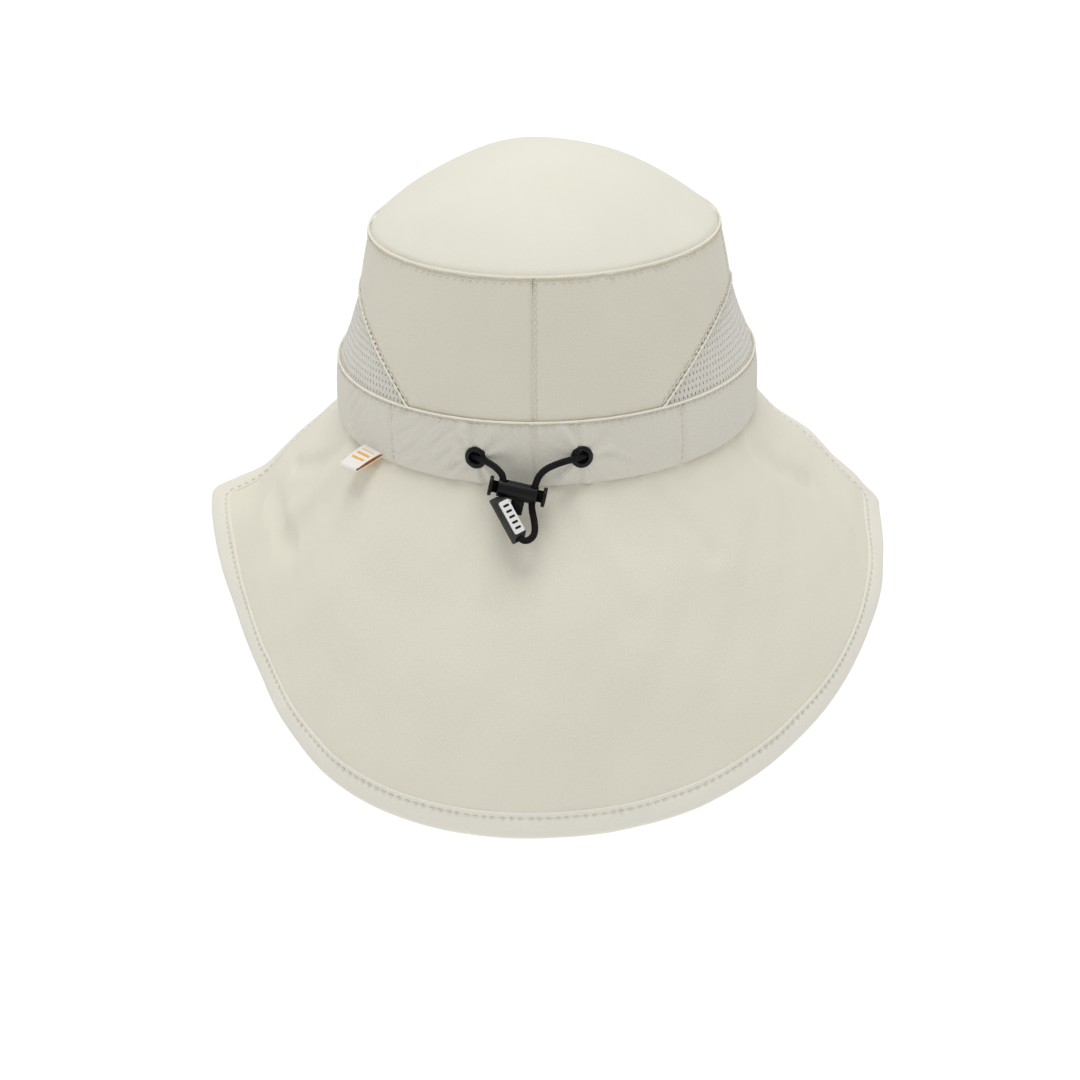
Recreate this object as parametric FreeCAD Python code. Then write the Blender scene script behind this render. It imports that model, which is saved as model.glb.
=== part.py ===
import FreeCAD, Part

import math
import os

# A child's sun hat with a neck cape, in millimetres.
# The origin is the centre of the head opening, in the plane of the band's lower edge.
# +Z is up, -Y is the front (the brim) and +X is the wearer's left.

V = FreeCAD.Vector

# ---------------------------------------------------------------- driving dimensions
OVAL = 1.17                # front-to-back size over side-to-side size of the head oval
BAND_R = 76.0              # half width of the band at its lower edge
BAND_TOP_R = 75.4          # half width where the band meets the crown
BAND_H = 22.3
TIP_R = 62.6               # half width of the seam round the flat top panel
TIP_Z = 68.3
DOME_H = 27.6              # rise of the top panel above its seam
WALL = 1.2                 # crown and band cloth with its backing

SWEAT_R = 72.2             # outside half width of the sweatband
SWEAT_T = 1.0
SWEAT_Z0 = 0.6
SWEAT_Z1 = 21.6
TAPE_T = 0.5               # binding tape inside the seams
BAND_STITCH_DEG = 41.0     # the upright stitch rows that end the cord's casing

VENT_Y0 = -56.0            # the side vents are circular arches seen from the side
VENT_Y1 = 72.0
VENT_TOP_Z = 46.5

CAPE_SPAN_DEG = 118.0      # half of the band that the cape is sewn to
CAPE_T = 1.2
HEM_T = 2.4                # the turned hem is thicker
HEM_START = 0.93           # where the hem starts, as a share of the way down
HEM_HALF_W = 127.5
HEM_REACH = 173.0          # from the hem's corners to its rearmost point
HEM_CORNER_Y = -28.0
HEM_CORNER_Z = -44.0
HEM_FALL = 0.3445          # drop of the hem per millimetre towards the back
HEM_POWER = 2.15           # 2 is an ellipse, more is squarer
CAPE_BULGE_BACK = 7.0
CAPE_BULGE_FRONT = -1.5

BRIM_SPAN_DEG = 78.0       # half of the band that the brim is sewn to, from the front
BRIM_T = 2.0
BRIM_EDGE_T = 3.0          # the bound edge
BRIM_EDGE_START = 0.93
BRIM_HALF_W = 112.0
BRIM_REACH = 148.0
BRIM_DROP_FRONT = 29.0
BRIM_DROP_SIDE = 42.0      # steeper at the sides, where it passes under the cape
BRIM_TOP_Z = -2.2
BRIM_BULGE = 1.5
BRIM_FOLD_Y = -90.0        # the front of the brim turns up about this line

CAPE_FOLD = V(0, 114.2, -33.3)     # the back of the cape lifts about a line through here
CAPE_FOLD_SLOPE_DEG = 57.5

CORD_D = 2.3
CORD_ROOM = 0.5            # what is cut away round the cord is this much wider
EYELET_R = 3.9
EYELET_BORE_R = 2.1
EYELET_WALL = 0.5
EYELET_LEFT = V(19.3, 85.7, 9.3)
EYELET_RIGHT = V(-16.2, 86.5, 9.9)

LOCK_CENTRE = V(4.9, 97.0, 1.25)
LOCK_AXIS = V(-0.973, 0, -0.229)   # from the left button to the right one
LOCK_UP = V(-0.229, 0, 0.973)
BARREL_R = 3.1
BARREL_LENGTH = 13.6
BARREL_BORE_R = 2.35
CORD_HOLE_R = 1.5
CORD_HOLE_LEFT = -5.0
CORD_HOLE_RIGHT = 5.2
PLUNGER_TRAVEL = 1.6
STEM_R = 2.15
BUTTON_R = 3.4
BUTTON_T = 1.3

PULL_CENTRE = V(7.5, 103.6, -5.9)
PULL_AXIS = V(-0.485, 0.323, -0.812)
PULL_FACE = V(-0.583, 0.573, 0.576)
PULL_W = 5.6
PULL_D = 3.2
PULL_FRONT_L = 13.2
PULL_BACK_L = 17.6

CORD_ROUTE = [
    V(46.6, 66.6, 10.0), V(38.4, 73.6, 10.1), V(29.3, 79.3, 9.8), V(20.6, 83.9, 9.5),
    V(15.3, 89.8, 9.1), V(12.0, 94.6, 8.9), V(9.0, 97.0, 6.2), V(10.4, 97.0, -1.4),
    V(9.9, 99.7, -4.2), V(7.6, 103.4, -6.2), V(5.0, 105.5, -10.4), V(3.4, 107.5, -13.6),
    V(1.3, 107.5, -14.8), V(-0.9, 106.6, -14.8), V(-2.3, 104.9, -13.4), V(-1.8, 101.9, -9.8),
    V(0.5, 97.2, -3.6), V(-1.0, 97.0, 3.8), V(-3.4, 96.0, 8.2), V(-8.9, 93.4, 10.0),
    V(-14.4, 89.2, 10.1), V(-19.0, 83.9, 9.9), V(-27.4, 80.1, 9.9), V(-37.2, 74.6, 10.1),
    V(-46.6, 66.6, 10.0)]

EPS = 0.01
BIG = 400.0


# ---------------------------------------------------------------- helpers
def oval(shape):
    """Stretch a round shape front to back into the head's oval."""
    stretch = FreeCAD.Matrix()
    stretch.scale(1, OVAL, 1)
    return shape.transformGeometry(stretch)


def ring(profile):
    """Turn a closed outline of (radius, height) points about Z."""
    points = [V(r, 0, z) for r, z in profile]
    wire = Part.makePolygon(points + [points[0]])
    return Part.Face(wire).revolve(V(0, 0, 0), V(0, 0, 1), 360)


def sector(start_deg, end_deg):
    """A tall wedge between two angles, counted from +Y (the back) towards +X."""
    wedge = Part.makeCylinder(BIG, BIG, V(0, 0, -BIG / 2), V(0, 0, 1), end_deg - start_deg)
    wedge.rotate(V(0, 0, 0), V(0, 0, 1), 90 - end_deg)
    return wedge


def rim_point(t, r, z):
    """The point of an oval ring at angle t, in radians from the back."""
    return V(r * math.sin(t), r * OVAL * math.cos(t), z)


def cylinder(centre, axis, radius, low, high):
    """A cylinder about an axis, between two distances from the centre."""
    start = centre + axis * low
    return Part.makeCylinder(radius, high - low, start, axis)


def round_edges(solid, radius):
    """The full circles of one radius among a solid's edges."""
    return [e for e in solid.Edges if abs(e.Length - 2 * math.pi * radius) < 0.01]


def block(centre, axes, sizes):
    """A box of three sizes along three axes."""
    corner = V(centre)
    for axis, size in zip(axes, sizes):
        corner = corner - axis * (size / 2)
    a, b, c = [axis * size for axis, size in zip(axes, sizes)]
    wire = Part.makePolygon([corner, corner + a, corner + a + b, corner + b, corner])
    return Part.Face(wire).extrude(c)


def sheet(surface, t_range, s_range, depth, rows=25, columns=9):
    """A closed solid under a surface(t, s), as deep as depth along its normal."""
    t0, t1 = t_range
    s0, s1 = s_range
    step = 1e-4
    top = []
    under = []
    for i in range(rows):
        t = t0 + (t1 - t0) * i / (rows - 1)
        top.append([])
        under.append([])
        for j in range(columns):
            s = s0 + (s1 - s0) * j / (columns - 1)
            p = surface(t, s)
            along = surface(t + step, s) - surface(t - step, s)
            down = surface(t, s + step) - surface(t, s - step)
            normal = along.cross(down)
            normal.normalize()
            if normal.z < 0:
                normal = normal * -1
            top[-1].append(p)
            under[-1].append(p - normal * depth)
    outer = Part.BSplineSurface()
    outer.interpolate(top)
    inner = Part.BSplineSurface()
    inner.interpolate(under)
    faces = [outer.toShape(), inner.toShape()]
    for end in (0, 1):
        faces.append(Part.makeRuledSurface(outer.uIso(end).toShape(), inner.uIso(end).toShape()))
        faces.append(Part.makeRuledSurface(outer.vIso(end).toShape(), inner.vIso(end).toShape()))
    shell = Part.Shell(Part.makeCompound(faces).Faces)
    shell.sewShape()
    solid = Part.Solid(shell)
    if solid.Volume < 0:
        solid.reverse()
    return solid


def half_space(point, normal):
    """Everything on the normal's side of a plane, within reach of the hat."""
    side = normal.cross(V(1, 0, 0))
    centre = point + normal * (BIG / 2)
    return block(centre, [V(1, 0, 0), side, normal], [2 * BIG, 2 * BIG, BIG])


def tube(route, diameter):
    """A round cord along straight runs joined by tangent arcs; returns the solid and its length."""
    edges = []
    radii = []
    here = route[0]
    for before, corner, after in zip(route, route[1:], route[2:]):
        to_before = before - corner
        to_after = after - corner
        cut = 0.45 * min(to_before.Length, to_after.Length)
        turn = math.pi - to_before.getAngle(to_after)
        radius = cut / math.tan(turn / 2)
        radii.append(radius)
        to_before.normalize()
        to_after.normalize()
        enter = corner + to_before * cut
        leave = corner + to_after * cut
        inward = to_before + to_after
        inward.normalize()
        middle = corner + inward * (radius / math.cos(turn / 2) - radius)
        edges.append(Part.LineSegment(here, enter).toShape())
        edges.append(Part.Arc(enter, middle, leave).toShape())
        here = leave
    edges.append(Part.LineSegment(here, route[-1]).toShape())
    path = Part.Wire(edges)
    length = path.Length
    start = Part.Circle(route[0], route[1] - route[0], diameter / 2).toShape()
    pipe = path.makePipeShell([Part.Wire([start])], True, False)
    print("cord length %.1f, radii" % length, " ".join("%.1f" % r for r in radii))
    print("cord volume / (section x length) %.4f"
          % (pipe.Volume / (math.pi * diameter ** 2 / 4 * length)))
    return pipe


# ---------------------------------------------------------------- crown
def crown_parts(nodes):
    """The domed top panel, the back panels, the front panel and the two mesh vents."""
    sphere_r = (TIP_R ** 2 + DOME_H ** 2) / (2 * DOME_H)
    sphere_z = TIP_Z + DOME_H - sphere_r
    outer = Part.makeSphere(sphere_r, V(0, 0, sphere_z))
    inner = Part.makeSphere(sphere_r - WALL, V(0, 0, sphere_z))
    above = Part.makeBox(2 * BIG, 2 * BIG, BIG, V(-BIG, -BIG, TIP_Z))
    nodes["crown_top"] = oval(outer.cut(inner).common(above))

    side = ring([(BAND_TOP_R, BAND_H), (TIP_R, TIP_Z), (TIP_R - WALL, TIP_Z), (BAND_TOP_R - WALL, BAND_H)])
    arch = [V(0, VENT_Y1, BAND_H - EPS),
            V(0, (VENT_Y0 + VENT_Y1) / 2, VENT_TOP_Z),
            V(0, VENT_Y0, BAND_H - EPS)]
    outline = Part.Wire([Part.Arc(*arch).toShape(), Part.LineSegment(arch[2], arch[0]).toShape()])
    vent_left = Part.Face(outline).extrude(V(BIG, 0, 0))
    vent_right = Part.Face(outline).extrude(V(-BIG, 0, 0))
    back_edge_deg = 85.0
    back_left = oval(side.common(sector(0, back_edge_deg)))
    back_right = oval(side.common(sector(-back_edge_deg, 0)))
    front = oval(side.common(sector(back_edge_deg, 360 - back_edge_deg)))
    nodes["crown_back_left"] = back_left.cut(vent_left)
    nodes["crown_back_right"] = back_right.cut(vent_right)
    nodes["crown_front"] = front.cut(vent_left).cut(vent_right)
    whole = oval(side)
    nodes["mesh_vent_left"] = whole.common(vent_left)
    nodes["mesh_vent_right"] = whole.common(vent_right)

    tape_r = TIP_R - WALL
    nodes["tip_seam_tape"] = oval(ring([(tape_r + 1.2, TIP_Z - 5), (tape_r, TIP_Z - 0.5),
                                        (tape_r - TAPE_T, TIP_Z - 0.5), (tape_r + 1.2 - TAPE_T, TIP_Z - 5)]))


def band_parts(nodes, cord_room):
    """The band's back and front lengths, the sweatband, and the tapes that close the casing."""
    band = ring([(BAND_R, 0), (BAND_TOP_R, BAND_H), (BAND_TOP_R - WALL, BAND_H), (BAND_R - WALL, 0)])
    stitch = BAND_STITCH_DEG
    back_left = oval(band.common(sector(0, stitch)))
    back_right = oval(band.common(sector(-stitch, 0)))
    nodes["band_front"] = oval(band.common(sector(stitch, 360 - stitch)))
    for side, shape, centre in (("left", back_left, EYELET_LEFT), ("right", back_right, EYELET_RIGHT)):
        axis = outward(centre)
        eyelet_parts(nodes, side, centre, axis)
        hole = cylinder(centre, axis, EYELET_BORE_R + EYELET_WALL, -4, 4)
        shape = shape.cut(hole).cut(nodes["eyelet_" + side]).cut(nodes["eyelet_washer_" + side])
        nodes["band_back_" + side] = max(shape.cut(cord_room).Solids, key=lambda solid: solid.Volume)
    nodes["sweatband"] = oval(ring([(SWEAT_R, SWEAT_Z0), (SWEAT_R, SWEAT_Z1),
                                    (SWEAT_R - SWEAT_T, SWEAT_Z1), (SWEAT_R - SWEAT_T, SWEAT_Z0)]))
    inside = BAND_R - WALL
    nodes["lower_casing_tape"] = oval(ring([(SWEAT_R, SWEAT_Z0), (inside - 0.1, SWEAT_Z0),
                                            (inside - 0.1, SWEAT_Z0 + 1.2), (SWEAT_R, SWEAT_Z0 + 1.2)]))
    inside = BAND_TOP_R - WALL
    nodes["upper_casing_tape"] = oval(ring([(SWEAT_R, SWEAT_Z1 - 1.2), (inside, SWEAT_Z1 - 1.2),
                                            (inside, SWEAT_Z1), (SWEAT_R, SWEAT_Z1)]))


def outward(point):
    """The level outward direction of the head's oval beside a point."""
    normal = V(point.x, point.y / OVAL ** 2, 0)
    normal.normalize()
    return normal


def eyelet_parts(nodes, side, centre, axis):
    """A moulded eyelet: a domed flange outside, a barrel through the band, and a washer inside."""
    flange = cylinder(centre, axis, EYELET_R, 0.05, 1.1)
    outer_edge = [e for e in round_edges(flange, EYELET_R) if (e.CenterOfMass - centre).dot(axis) > 0.6]
    flange = flange.makeFillet(0.5, outer_edge)
    barrel = cylinder(centre, axis, EYELET_BORE_R + EYELET_WALL, -1.75, 0.3)
    bore = cylinder(centre, axis, EYELET_BORE_R, -4, 4)
    nodes["eyelet_" + side] = flange.fuse(barrel).cut(bore)
    washer = cylinder(centre, axis, EYELET_R - 0.7, -1.75, -1.35)
    sleeve_hole = cylinder(centre, axis, EYELET_BORE_R + EYELET_WALL, -4, 4)
    nodes["eyelet_washer_" + side] = washer.cut(sleeve_hole)


# ---------------------------------------------------------------- cape
def hem_point(turn):
    """A point of the hem; turn is -1 at the right corner, 0 at the back and 1 at the left corner."""
    angle = turn * math.pi / 2
    c = math.cos(angle)
    s = math.sin(angle)
    r = (abs(c) ** HEM_POWER + abs(s) ** HEM_POWER) ** (-1 / HEM_POWER)
    y = HEM_CORNER_Y + HEM_REACH * c * r
    return V(HEM_HALF_W * s * r, y, HEM_CORNER_Z - HEM_FALL * (y - HEM_CORNER_Y))


def cape_surface(t, s):
    """The cape's outer face: t round the band in radians from the back, s from band to hem."""
    span = math.radians(CAPE_SPAN_DEG)
    top = rim_point(t, BAND_R, 0)
    run = hem_point(t / span) - top
    down = V(run)
    down.normalize()
    proud = V(0, 0, 1) - down * down.z
    proud.normalize()
    bulge = CAPE_BULGE_BACK + (CAPE_BULGE_FRONT - CAPE_BULGE_BACK) * (t / span) ** 2
    return top + run * s + proud * (4 * bulge * s * (1 - s))


def cape_parts(nodes):
    """The cape and its turned hem, cut where the back of the cape lifts."""
    span = math.radians(CAPE_SPAN_DEG)
    cloth = sheet(cape_surface, (-span, span), (0.004, HEM_START), CAPE_T, 33, 11)
    hem = sheet(cape_surface, (-span, span), (HEM_START, 1.0), HEM_T, 41, 4)
    slope = math.radians(CAPE_FOLD_SLOPE_DEG)
    down = V(0, math.cos(slope), -math.sin(slope))
    lifting = half_space(CAPE_FOLD, down)
    staying = half_space(CAPE_FOLD - down * 0.3, down * -1)
    nodes["cape_upper"] = cloth.common(staying)
    nodes["cape_flap"] = cloth.common(lifting)
    for solid in hem.common(staying).Solids:
        side = "left" if solid.CenterOfMass.x > 0 else "right"
        nodes["cape_hem_" + side] = solid
    nodes["cape_hem_back"] = hem.common(lifting)


# ---------------------------------------------------------------- brim
def brim_surface(t, s):
    """The brim's upper face: t round the band in radians from the back, s from band to edge."""
    side = math.sin(t) ** 2
    top = rim_point(t, BAND_R, BRIM_TOP_Z)
    drop = BRIM_DROP_FRONT + (BRIM_DROP_SIDE - BRIM_DROP_FRONT) * side
    edge = V(BRIM_HALF_W * math.sin(t), BRIM_REACH * math.cos(t), BRIM_TOP_Z - drop)
    rise = V(0, 0, 4 * BRIM_BULGE * (1 - side) * s * (1 - s))
    return top + (edge - top) * s + rise


def brim_parts(nodes):
    """The brim and its bound edge, cut where the front of the brim turns up."""
    start = math.pi - math.radians(BRIM_SPAN_DEG)
    end = math.pi + math.radians(BRIM_SPAN_DEG)
    cloth = sheet(brim_surface, (start, end), (0.02, BRIM_EDGE_START), BRIM_T, 33, 7)
    edge = sheet(brim_surface, (start, end), (BRIM_EDGE_START, 1.0), BRIM_EDGE_T, 41, 4)
    fold = V(0, BRIM_FOLD_Y, 0)
    turning = half_space(fold, V(0, -1, 0))
    staying = half_space(fold + V(0, 0.4, 0), V(0, 1, 0))
    nodes["brim_front"] = cloth.common(turning)
    nodes["brim_edge_front"] = edge.common(turning)
    nodes["brim_base"] = cloth.common(staying)
    for solid in edge.common(staying).Solids:
        side = "left" if solid.CenterOfMass.x > 0 else "right"
        nodes["brim_edge_" + side] = solid


# ---------------------------------------------------------------- drawcord and lock
def lock_parts(nodes, cord_room):
    """A barrel cord lock with a sprung button at each end, and a lug under it."""
    across = V(0, 1, 0)
    half = BARREL_LENGTH / 2
    body = cylinder(LOCK_CENTRE, LOCK_AXIS, BARREL_R, -half, half)
    body = body.makeFillet(0.5, round_edges(body, BARREL_R))
    lug_centre = LOCK_CENTRE + LOCK_AXIS * 0.9 - LOCK_UP * 5.2
    lug = block(lug_centre, [LOCK_AXIS, across, LOCK_UP], [4.4, 2.8, 5.4])
    body = body.fuse(lug.makeFillet(0.6, lug.Edges))
    body = body.cut(cylinder(LOCK_CENTRE, LOCK_AXIS, BARREL_BORE_R, -half - 1, half + 1))
    for place in (CORD_HOLE_LEFT, CORD_HOLE_RIGHT):
        centre = LOCK_CENTRE + LOCK_AXIS * place
        body = body.cut(cylinder(centre, LOCK_UP, CORD_HOLE_R, -6, 6))
    nodes["lock_barrel"] = body.cut(cord_room)

    slot_length = 2 * CORD_HOLE_R + PLUNGER_TRAVEL
    for side, out, hole in (("left", LOCK_AXIS * -1, -CORD_HOLE_LEFT), ("right", LOCK_AXIS, CORD_HOLE_RIGHT)):
        stem = cylinder(LOCK_CENTRE, out, STEM_R, 2.6, half + PLUNGER_TRAVEL + 0.1)
        button = cylinder(LOCK_CENTRE, out, BUTTON_R, half + PLUNGER_TRAVEL + 0.1,
                          half + PLUNGER_TRAVEL + 0.1 + BUTTON_T)
        button = button.makeFillet(0.45, round_edges(button, BUTTON_R))
        slot_centre = LOCK_CENTRE + out * (hole + PLUNGER_TRAVEL / 2)
        slot = block(slot_centre, [out, across, LOCK_UP], [slot_length, 2 * CORD_HOLE_R - 0.2, 8])
        nodes["lock_button_" + side] = stem.fuse(button).cut(slot).cut(cord_room)
    nodes["lock_spring"] = spring(LOCK_CENTRE, LOCK_AXIS)



def spring(centre, axis, wire_r=0.25, coil_r=1.5, length=4.4, turns=4, runs_per_turn=12):
    """A compression spring along an axis, its wire bent in short straight runs."""
    across = V(0, 1, 0)
    other = axis.cross(across)
    points = []
    for i in range(turns * runs_per_turn + 1):
        angle = 2 * math.pi * i / runs_per_turn
        along = length * (i / (turns * runs_per_turn) - 0.5)
        round_axis = across * math.cos(angle) + other * math.sin(angle)
        points.append(centre + axis * along + round_axis * coil_r)
    section = Part.Wire([Part.Circle(points[0], points[1] - points[0], wire_r).toShape()])
    return Part.makePolygon(points).makePipeShell([section], True, False, 1)


def pull_parts(nodes, cord_room):
    """The moulded pull on the cord's loop, longer at the back, and the plain plate on its face."""
    width = PULL_FACE.cross(PULL_AXIS)
    front = PULL_CENTRE + PULL_FACE * (PULL_D / 2)
    back = PULL_CENTRE - PULL_FACE * (PULL_D / 2)
    a = PULL_AXIS
    outline = [front - a * (PULL_FRONT_L / 2), front + a * (PULL_FRONT_L / 2),
               back + a * (PULL_BACK_L / 2), back - a * (PULL_BACK_L / 2)]
    outline = [p - width * (PULL_W / 2) for p in outline]
    body = Part.Face(Part.makePolygon(outline + [outline[0]])).extrude(width * PULL_W)
    body = body.makeFillet(0.5, body.Edges)
    half = BARREL_LENGTH / 2 + PLUNGER_TRAVEL + BUTTON_T + 1
    lock_room = cylinder(LOCK_CENTRE, LOCK_AXIS, BUTTON_R + 0.4, -half, half)
    body = body.cut(cord_room).cut(lock_room)
    nodes["pull_body"] = max(body.Solids, key=lambda solid: solid.Volume)
    plate_t = 0.5
    plate = block(front + PULL_FACE * (plate_t / 2), [a, width, PULL_FACE],
                  [PULL_FRONT_L - 1.2, PULL_W - 1.2, plate_t])
    corners = [e for e in plate.Edges if e.Length < plate_t + EPS]
    nodes["pull_plate"] = plate.makeFillet(0.6, corners)


def cord_parts(nodes):
    """The elastic cord from one stitched end in the casing, round the loop, to the other."""
    nodes["drawcord"] = tube(CORD_ROUTE, CORD_D)
    ends = (("left", CORD_ROUTE[0], CORD_ROUTE[1]), ("right", CORD_ROUTE[-1], CORD_ROUTE[-2]))
    for side, end, inner in ends:
        away = end - inner
        away.normalize()
        upright = V(0, 0, 1)
        out = away.cross(upright)
        anchor = block(end + away * 1.5, [away, out, upright], [3.0, 1.8, 8.0])
        nodes["cord_anchor_" + side] = anchor.cut(nodes["band_front"]).cut(nodes["band_back_" + side])


# ---------------------------------------------------------------- side tag
def tag_parts(nodes):
    """The folded woven tag sewn into the seam below the band, on the left of the back."""
    t = math.radians(49.0)
    root = rim_point(t, BAND_R, 0) + V(0, 0, 0.9)
    out = outward(root)
    along = V(0, 0, 1).cross(out)
    lean = math.radians(22.0)
    down = out * math.cos(lean) - V(0, 0, 1) * math.sin(lean)
    face = out * math.sin(lean) + V(0, 0, 1) * math.cos(lean)
    length = 11.0
    nodes["side_tag"] = block(root + down * (length / 2 + 0.3) + face * 1.3, [down, along, face],
                              [length, 11.5, 1.4])


def build():
    """Make every node and write it to its own file."""
    nodes = {}
    cord_room = tube(CORD_ROUTE, CORD_D + CORD_ROOM)
    crown_parts(nodes)
    band_parts(nodes, cord_room)
    cape_parts(nodes)
    brim_parts(nodes)
    lock_parts(nodes, cord_room)
    pull_parts(nodes, cord_room)
    cord_parts(nodes)
    tag_parts(nodes)
    os.makedirs("parts", exist_ok=True)
    for name, shape in nodes.items():
        facts = (name, len(shape.Solids), shape.isValid(), shape.Volume)
        print("%-22s solids %d valid %s volume %9.1f" % facts)
        shape.exportStep("parts/%s.step" % name)


build()
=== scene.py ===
# %% [markdown]
# # A child's sun hat with a neck cape
# The hat is sewn from flat cloth: a domed tip, a wall of panels with two mesh vents, a band that holds an
# elastic drawcord, a stiffened brim at the front and a wide cape at the back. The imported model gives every
# piece its place, so it is loaded first, and everything below is worked out around it, in metres.

# %% The frame
import math
import bmesh
import bpy
import numpy as np
from mathutils import Matrix, Vector


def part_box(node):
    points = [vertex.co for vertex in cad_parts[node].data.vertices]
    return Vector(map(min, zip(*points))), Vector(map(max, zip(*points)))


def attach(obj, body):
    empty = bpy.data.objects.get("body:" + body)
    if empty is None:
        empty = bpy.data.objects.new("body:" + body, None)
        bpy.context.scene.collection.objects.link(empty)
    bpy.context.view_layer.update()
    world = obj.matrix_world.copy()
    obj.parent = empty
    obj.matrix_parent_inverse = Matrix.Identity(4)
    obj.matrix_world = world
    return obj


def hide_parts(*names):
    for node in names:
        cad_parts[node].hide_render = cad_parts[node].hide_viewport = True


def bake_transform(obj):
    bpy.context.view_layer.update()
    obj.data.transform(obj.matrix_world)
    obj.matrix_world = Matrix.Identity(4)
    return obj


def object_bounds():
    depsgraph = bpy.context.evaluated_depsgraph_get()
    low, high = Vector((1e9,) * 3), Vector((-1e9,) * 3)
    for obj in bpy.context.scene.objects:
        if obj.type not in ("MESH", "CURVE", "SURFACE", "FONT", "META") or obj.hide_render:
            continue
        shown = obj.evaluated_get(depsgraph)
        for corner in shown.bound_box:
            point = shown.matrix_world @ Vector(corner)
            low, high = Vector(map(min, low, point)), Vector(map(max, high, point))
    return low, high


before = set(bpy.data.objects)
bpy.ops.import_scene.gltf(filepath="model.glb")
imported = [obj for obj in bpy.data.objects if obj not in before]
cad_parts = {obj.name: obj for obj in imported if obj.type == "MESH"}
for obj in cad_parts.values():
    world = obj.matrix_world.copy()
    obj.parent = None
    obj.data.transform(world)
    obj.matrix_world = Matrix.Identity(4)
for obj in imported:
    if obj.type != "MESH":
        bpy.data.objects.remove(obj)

cad_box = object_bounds()
print("CAD box", [round(c, 4) for corner in cad_box for c in corner])

# %% [markdown]
# ## Driving sizes
# The hat is an oval, so nearly every shape is a round one stretched front to back. The main sizes are read
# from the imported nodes, and what no node shows, such as thread and cloth, is named here.

# %% Sizes
MM = 0.001
band_low, band_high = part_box("band_front")
tip_low, tip_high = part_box("crown_top")
BAND_R = band_high.x                      # half width of the band at its lower edge
BAND_H = band_high.z
OVAL = -band_low.y / band_high.x          # front to back over side to side
TIP_R = tip_high.x
TIP_Z = tip_low.z
DOME_H = tip_high.z - tip_low.z
BAND_TOP_R = BAND_R - 0.6 * MM
WALL = 1.2 * MM
VENT_Y0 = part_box("mesh_vent_left")[0].y
VENT_Y1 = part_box("mesh_vent_left")[1].y
VENT_TOP_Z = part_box("mesh_vent_left")[1].z
BAND_STITCH = math.radians(41)            # upright stitch rows, from the back
SIDE_SEAM = math.radians(85)
CAPE_SPAN = math.radians(118)
HEM_HALF_W = cad_box[1].x
HEM_CORNER_Y = -28 * MM
HEM_REACH = cad_box[1].y - HEM_CORNER_Y
HEM_CORNER_Z = -44 * MM
HEM_FALL = 0.3445                         # drop of the hem for its way back
HEM_POWER = 2.15                          # 2 is an ellipse, more is squarer
BRIM_SPAN = math.radians(78)
THREAD = 0.25 * MM
STITCH_PITCH = 2.9 * MM
oval_mm = (2 * BAND_R / MM, 2 * BAND_R * OVAL / MM)
print("band oval %.0f x %.0f mm, crown %.0f mm high" % (*oval_mm, tip_high.z / MM))

# %% [markdown]
# ## Camera
# The hat is seen from behind and a little above, with a slight turn and tilt. A long lens from a metre away
# keeps the oval calm: a short one close by would make the near side of the cape look larger than it is.

# %% Camera
CAMERA_PITCH = math.radians(21.58)
CAMERA_YAW = math.radians(3.68)
CAMERA_ROLL = math.radians(-1.15)
CAMERA_AIM = Vector((0.0039, 0.0, -0.0546))
CAMERA_DISTANCE = 1.0
LENS_MM = 88.9


def camera_matrix():
    """Looks along a direction set by yaw and pitch, turned about it by the roll.

    The distance is measured back along that direction."""
    cos_pitch = math.cos(CAMERA_PITCH)
    ahead = Vector((math.sin(CAMERA_YAW) * cos_pitch, -math.cos(CAMERA_YAW) * cos_pitch,
                    -math.sin(CAMERA_PITCH)))
    side = ahead.cross(Vector((0, 0, 1))).normalized()
    up = side.cross(ahead)
    right = side * math.cos(CAMERA_ROLL) + up * math.sin(CAMERA_ROLL)
    over = up * math.cos(CAMERA_ROLL) - side * math.sin(CAMERA_ROLL)
    turn = Matrix((right, over, -ahead)).transposed().to_4x4()
    return Matrix.Translation(CAMERA_AIM - ahead * CAMERA_DISTANCE) @ turn


camera = bpy.data.objects.new("camera", bpy.data.cameras.new("camera"))
bpy.context.scene.collection.objects.link(camera)
camera.data.sensor_width = 36
camera.data.lens = LENS_MM
camera.data.clip_start = 0.01
camera.data.clip_end = 100
camera.matrix_world = camera_matrix()
bpy.context.scene.camera = camera
bpy.context.scene.view_settings.view_transform = "Standard"
print("camera at", [round(c, 3) for c in camera.location])

# %% [markdown]
# ## Shader expressions
# Node trees get long when every sum is a node made by hand. A small class wraps a socket, and each operator
# adds the Math node that it stands for, so that a pattern reads like its formula. Every other node comes from
# one method, which takes the node's type, its settings and its sockets.

# %% Shader expressions
class Value:
    """A socket used as a number: a + b, a - b, a * b, a > b, a.sin() and a.size() each add a Math node."""

    def __init__(self, paint, made, output=0):
        self.paint = paint
        self.made = made
        self.socket = made.outputs[output] if made.outputs else None

    def out(self, name):
        return Value(self.paint, self.made, name)

    def math(self, operation, *others):
        inputs = {0: self}
        inputs.update({i + 1: other for i, other in enumerate(others)})
        return self.paint.node("Math", {"operation": operation}, inputs)

    def __add__(self, other):
        return self.math("ADD", other)

    def __sub__(self, other):
        return self.math("SUBTRACT", other)

    def __rsub__(self, other):
        return self.math("MULTIPLY_ADD", -1.0, other)

    def __mul__(self, other):
        return self.math("MULTIPLY", other)

    def __gt__(self, other):
        return self.math("GREATER_THAN", other)

    __radd__ = __add__
    __rmul__ = __mul__

    def sin(self):
        return self.math("SINE")

    def size(self):
        return self.math("ABSOLUTE")


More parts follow.
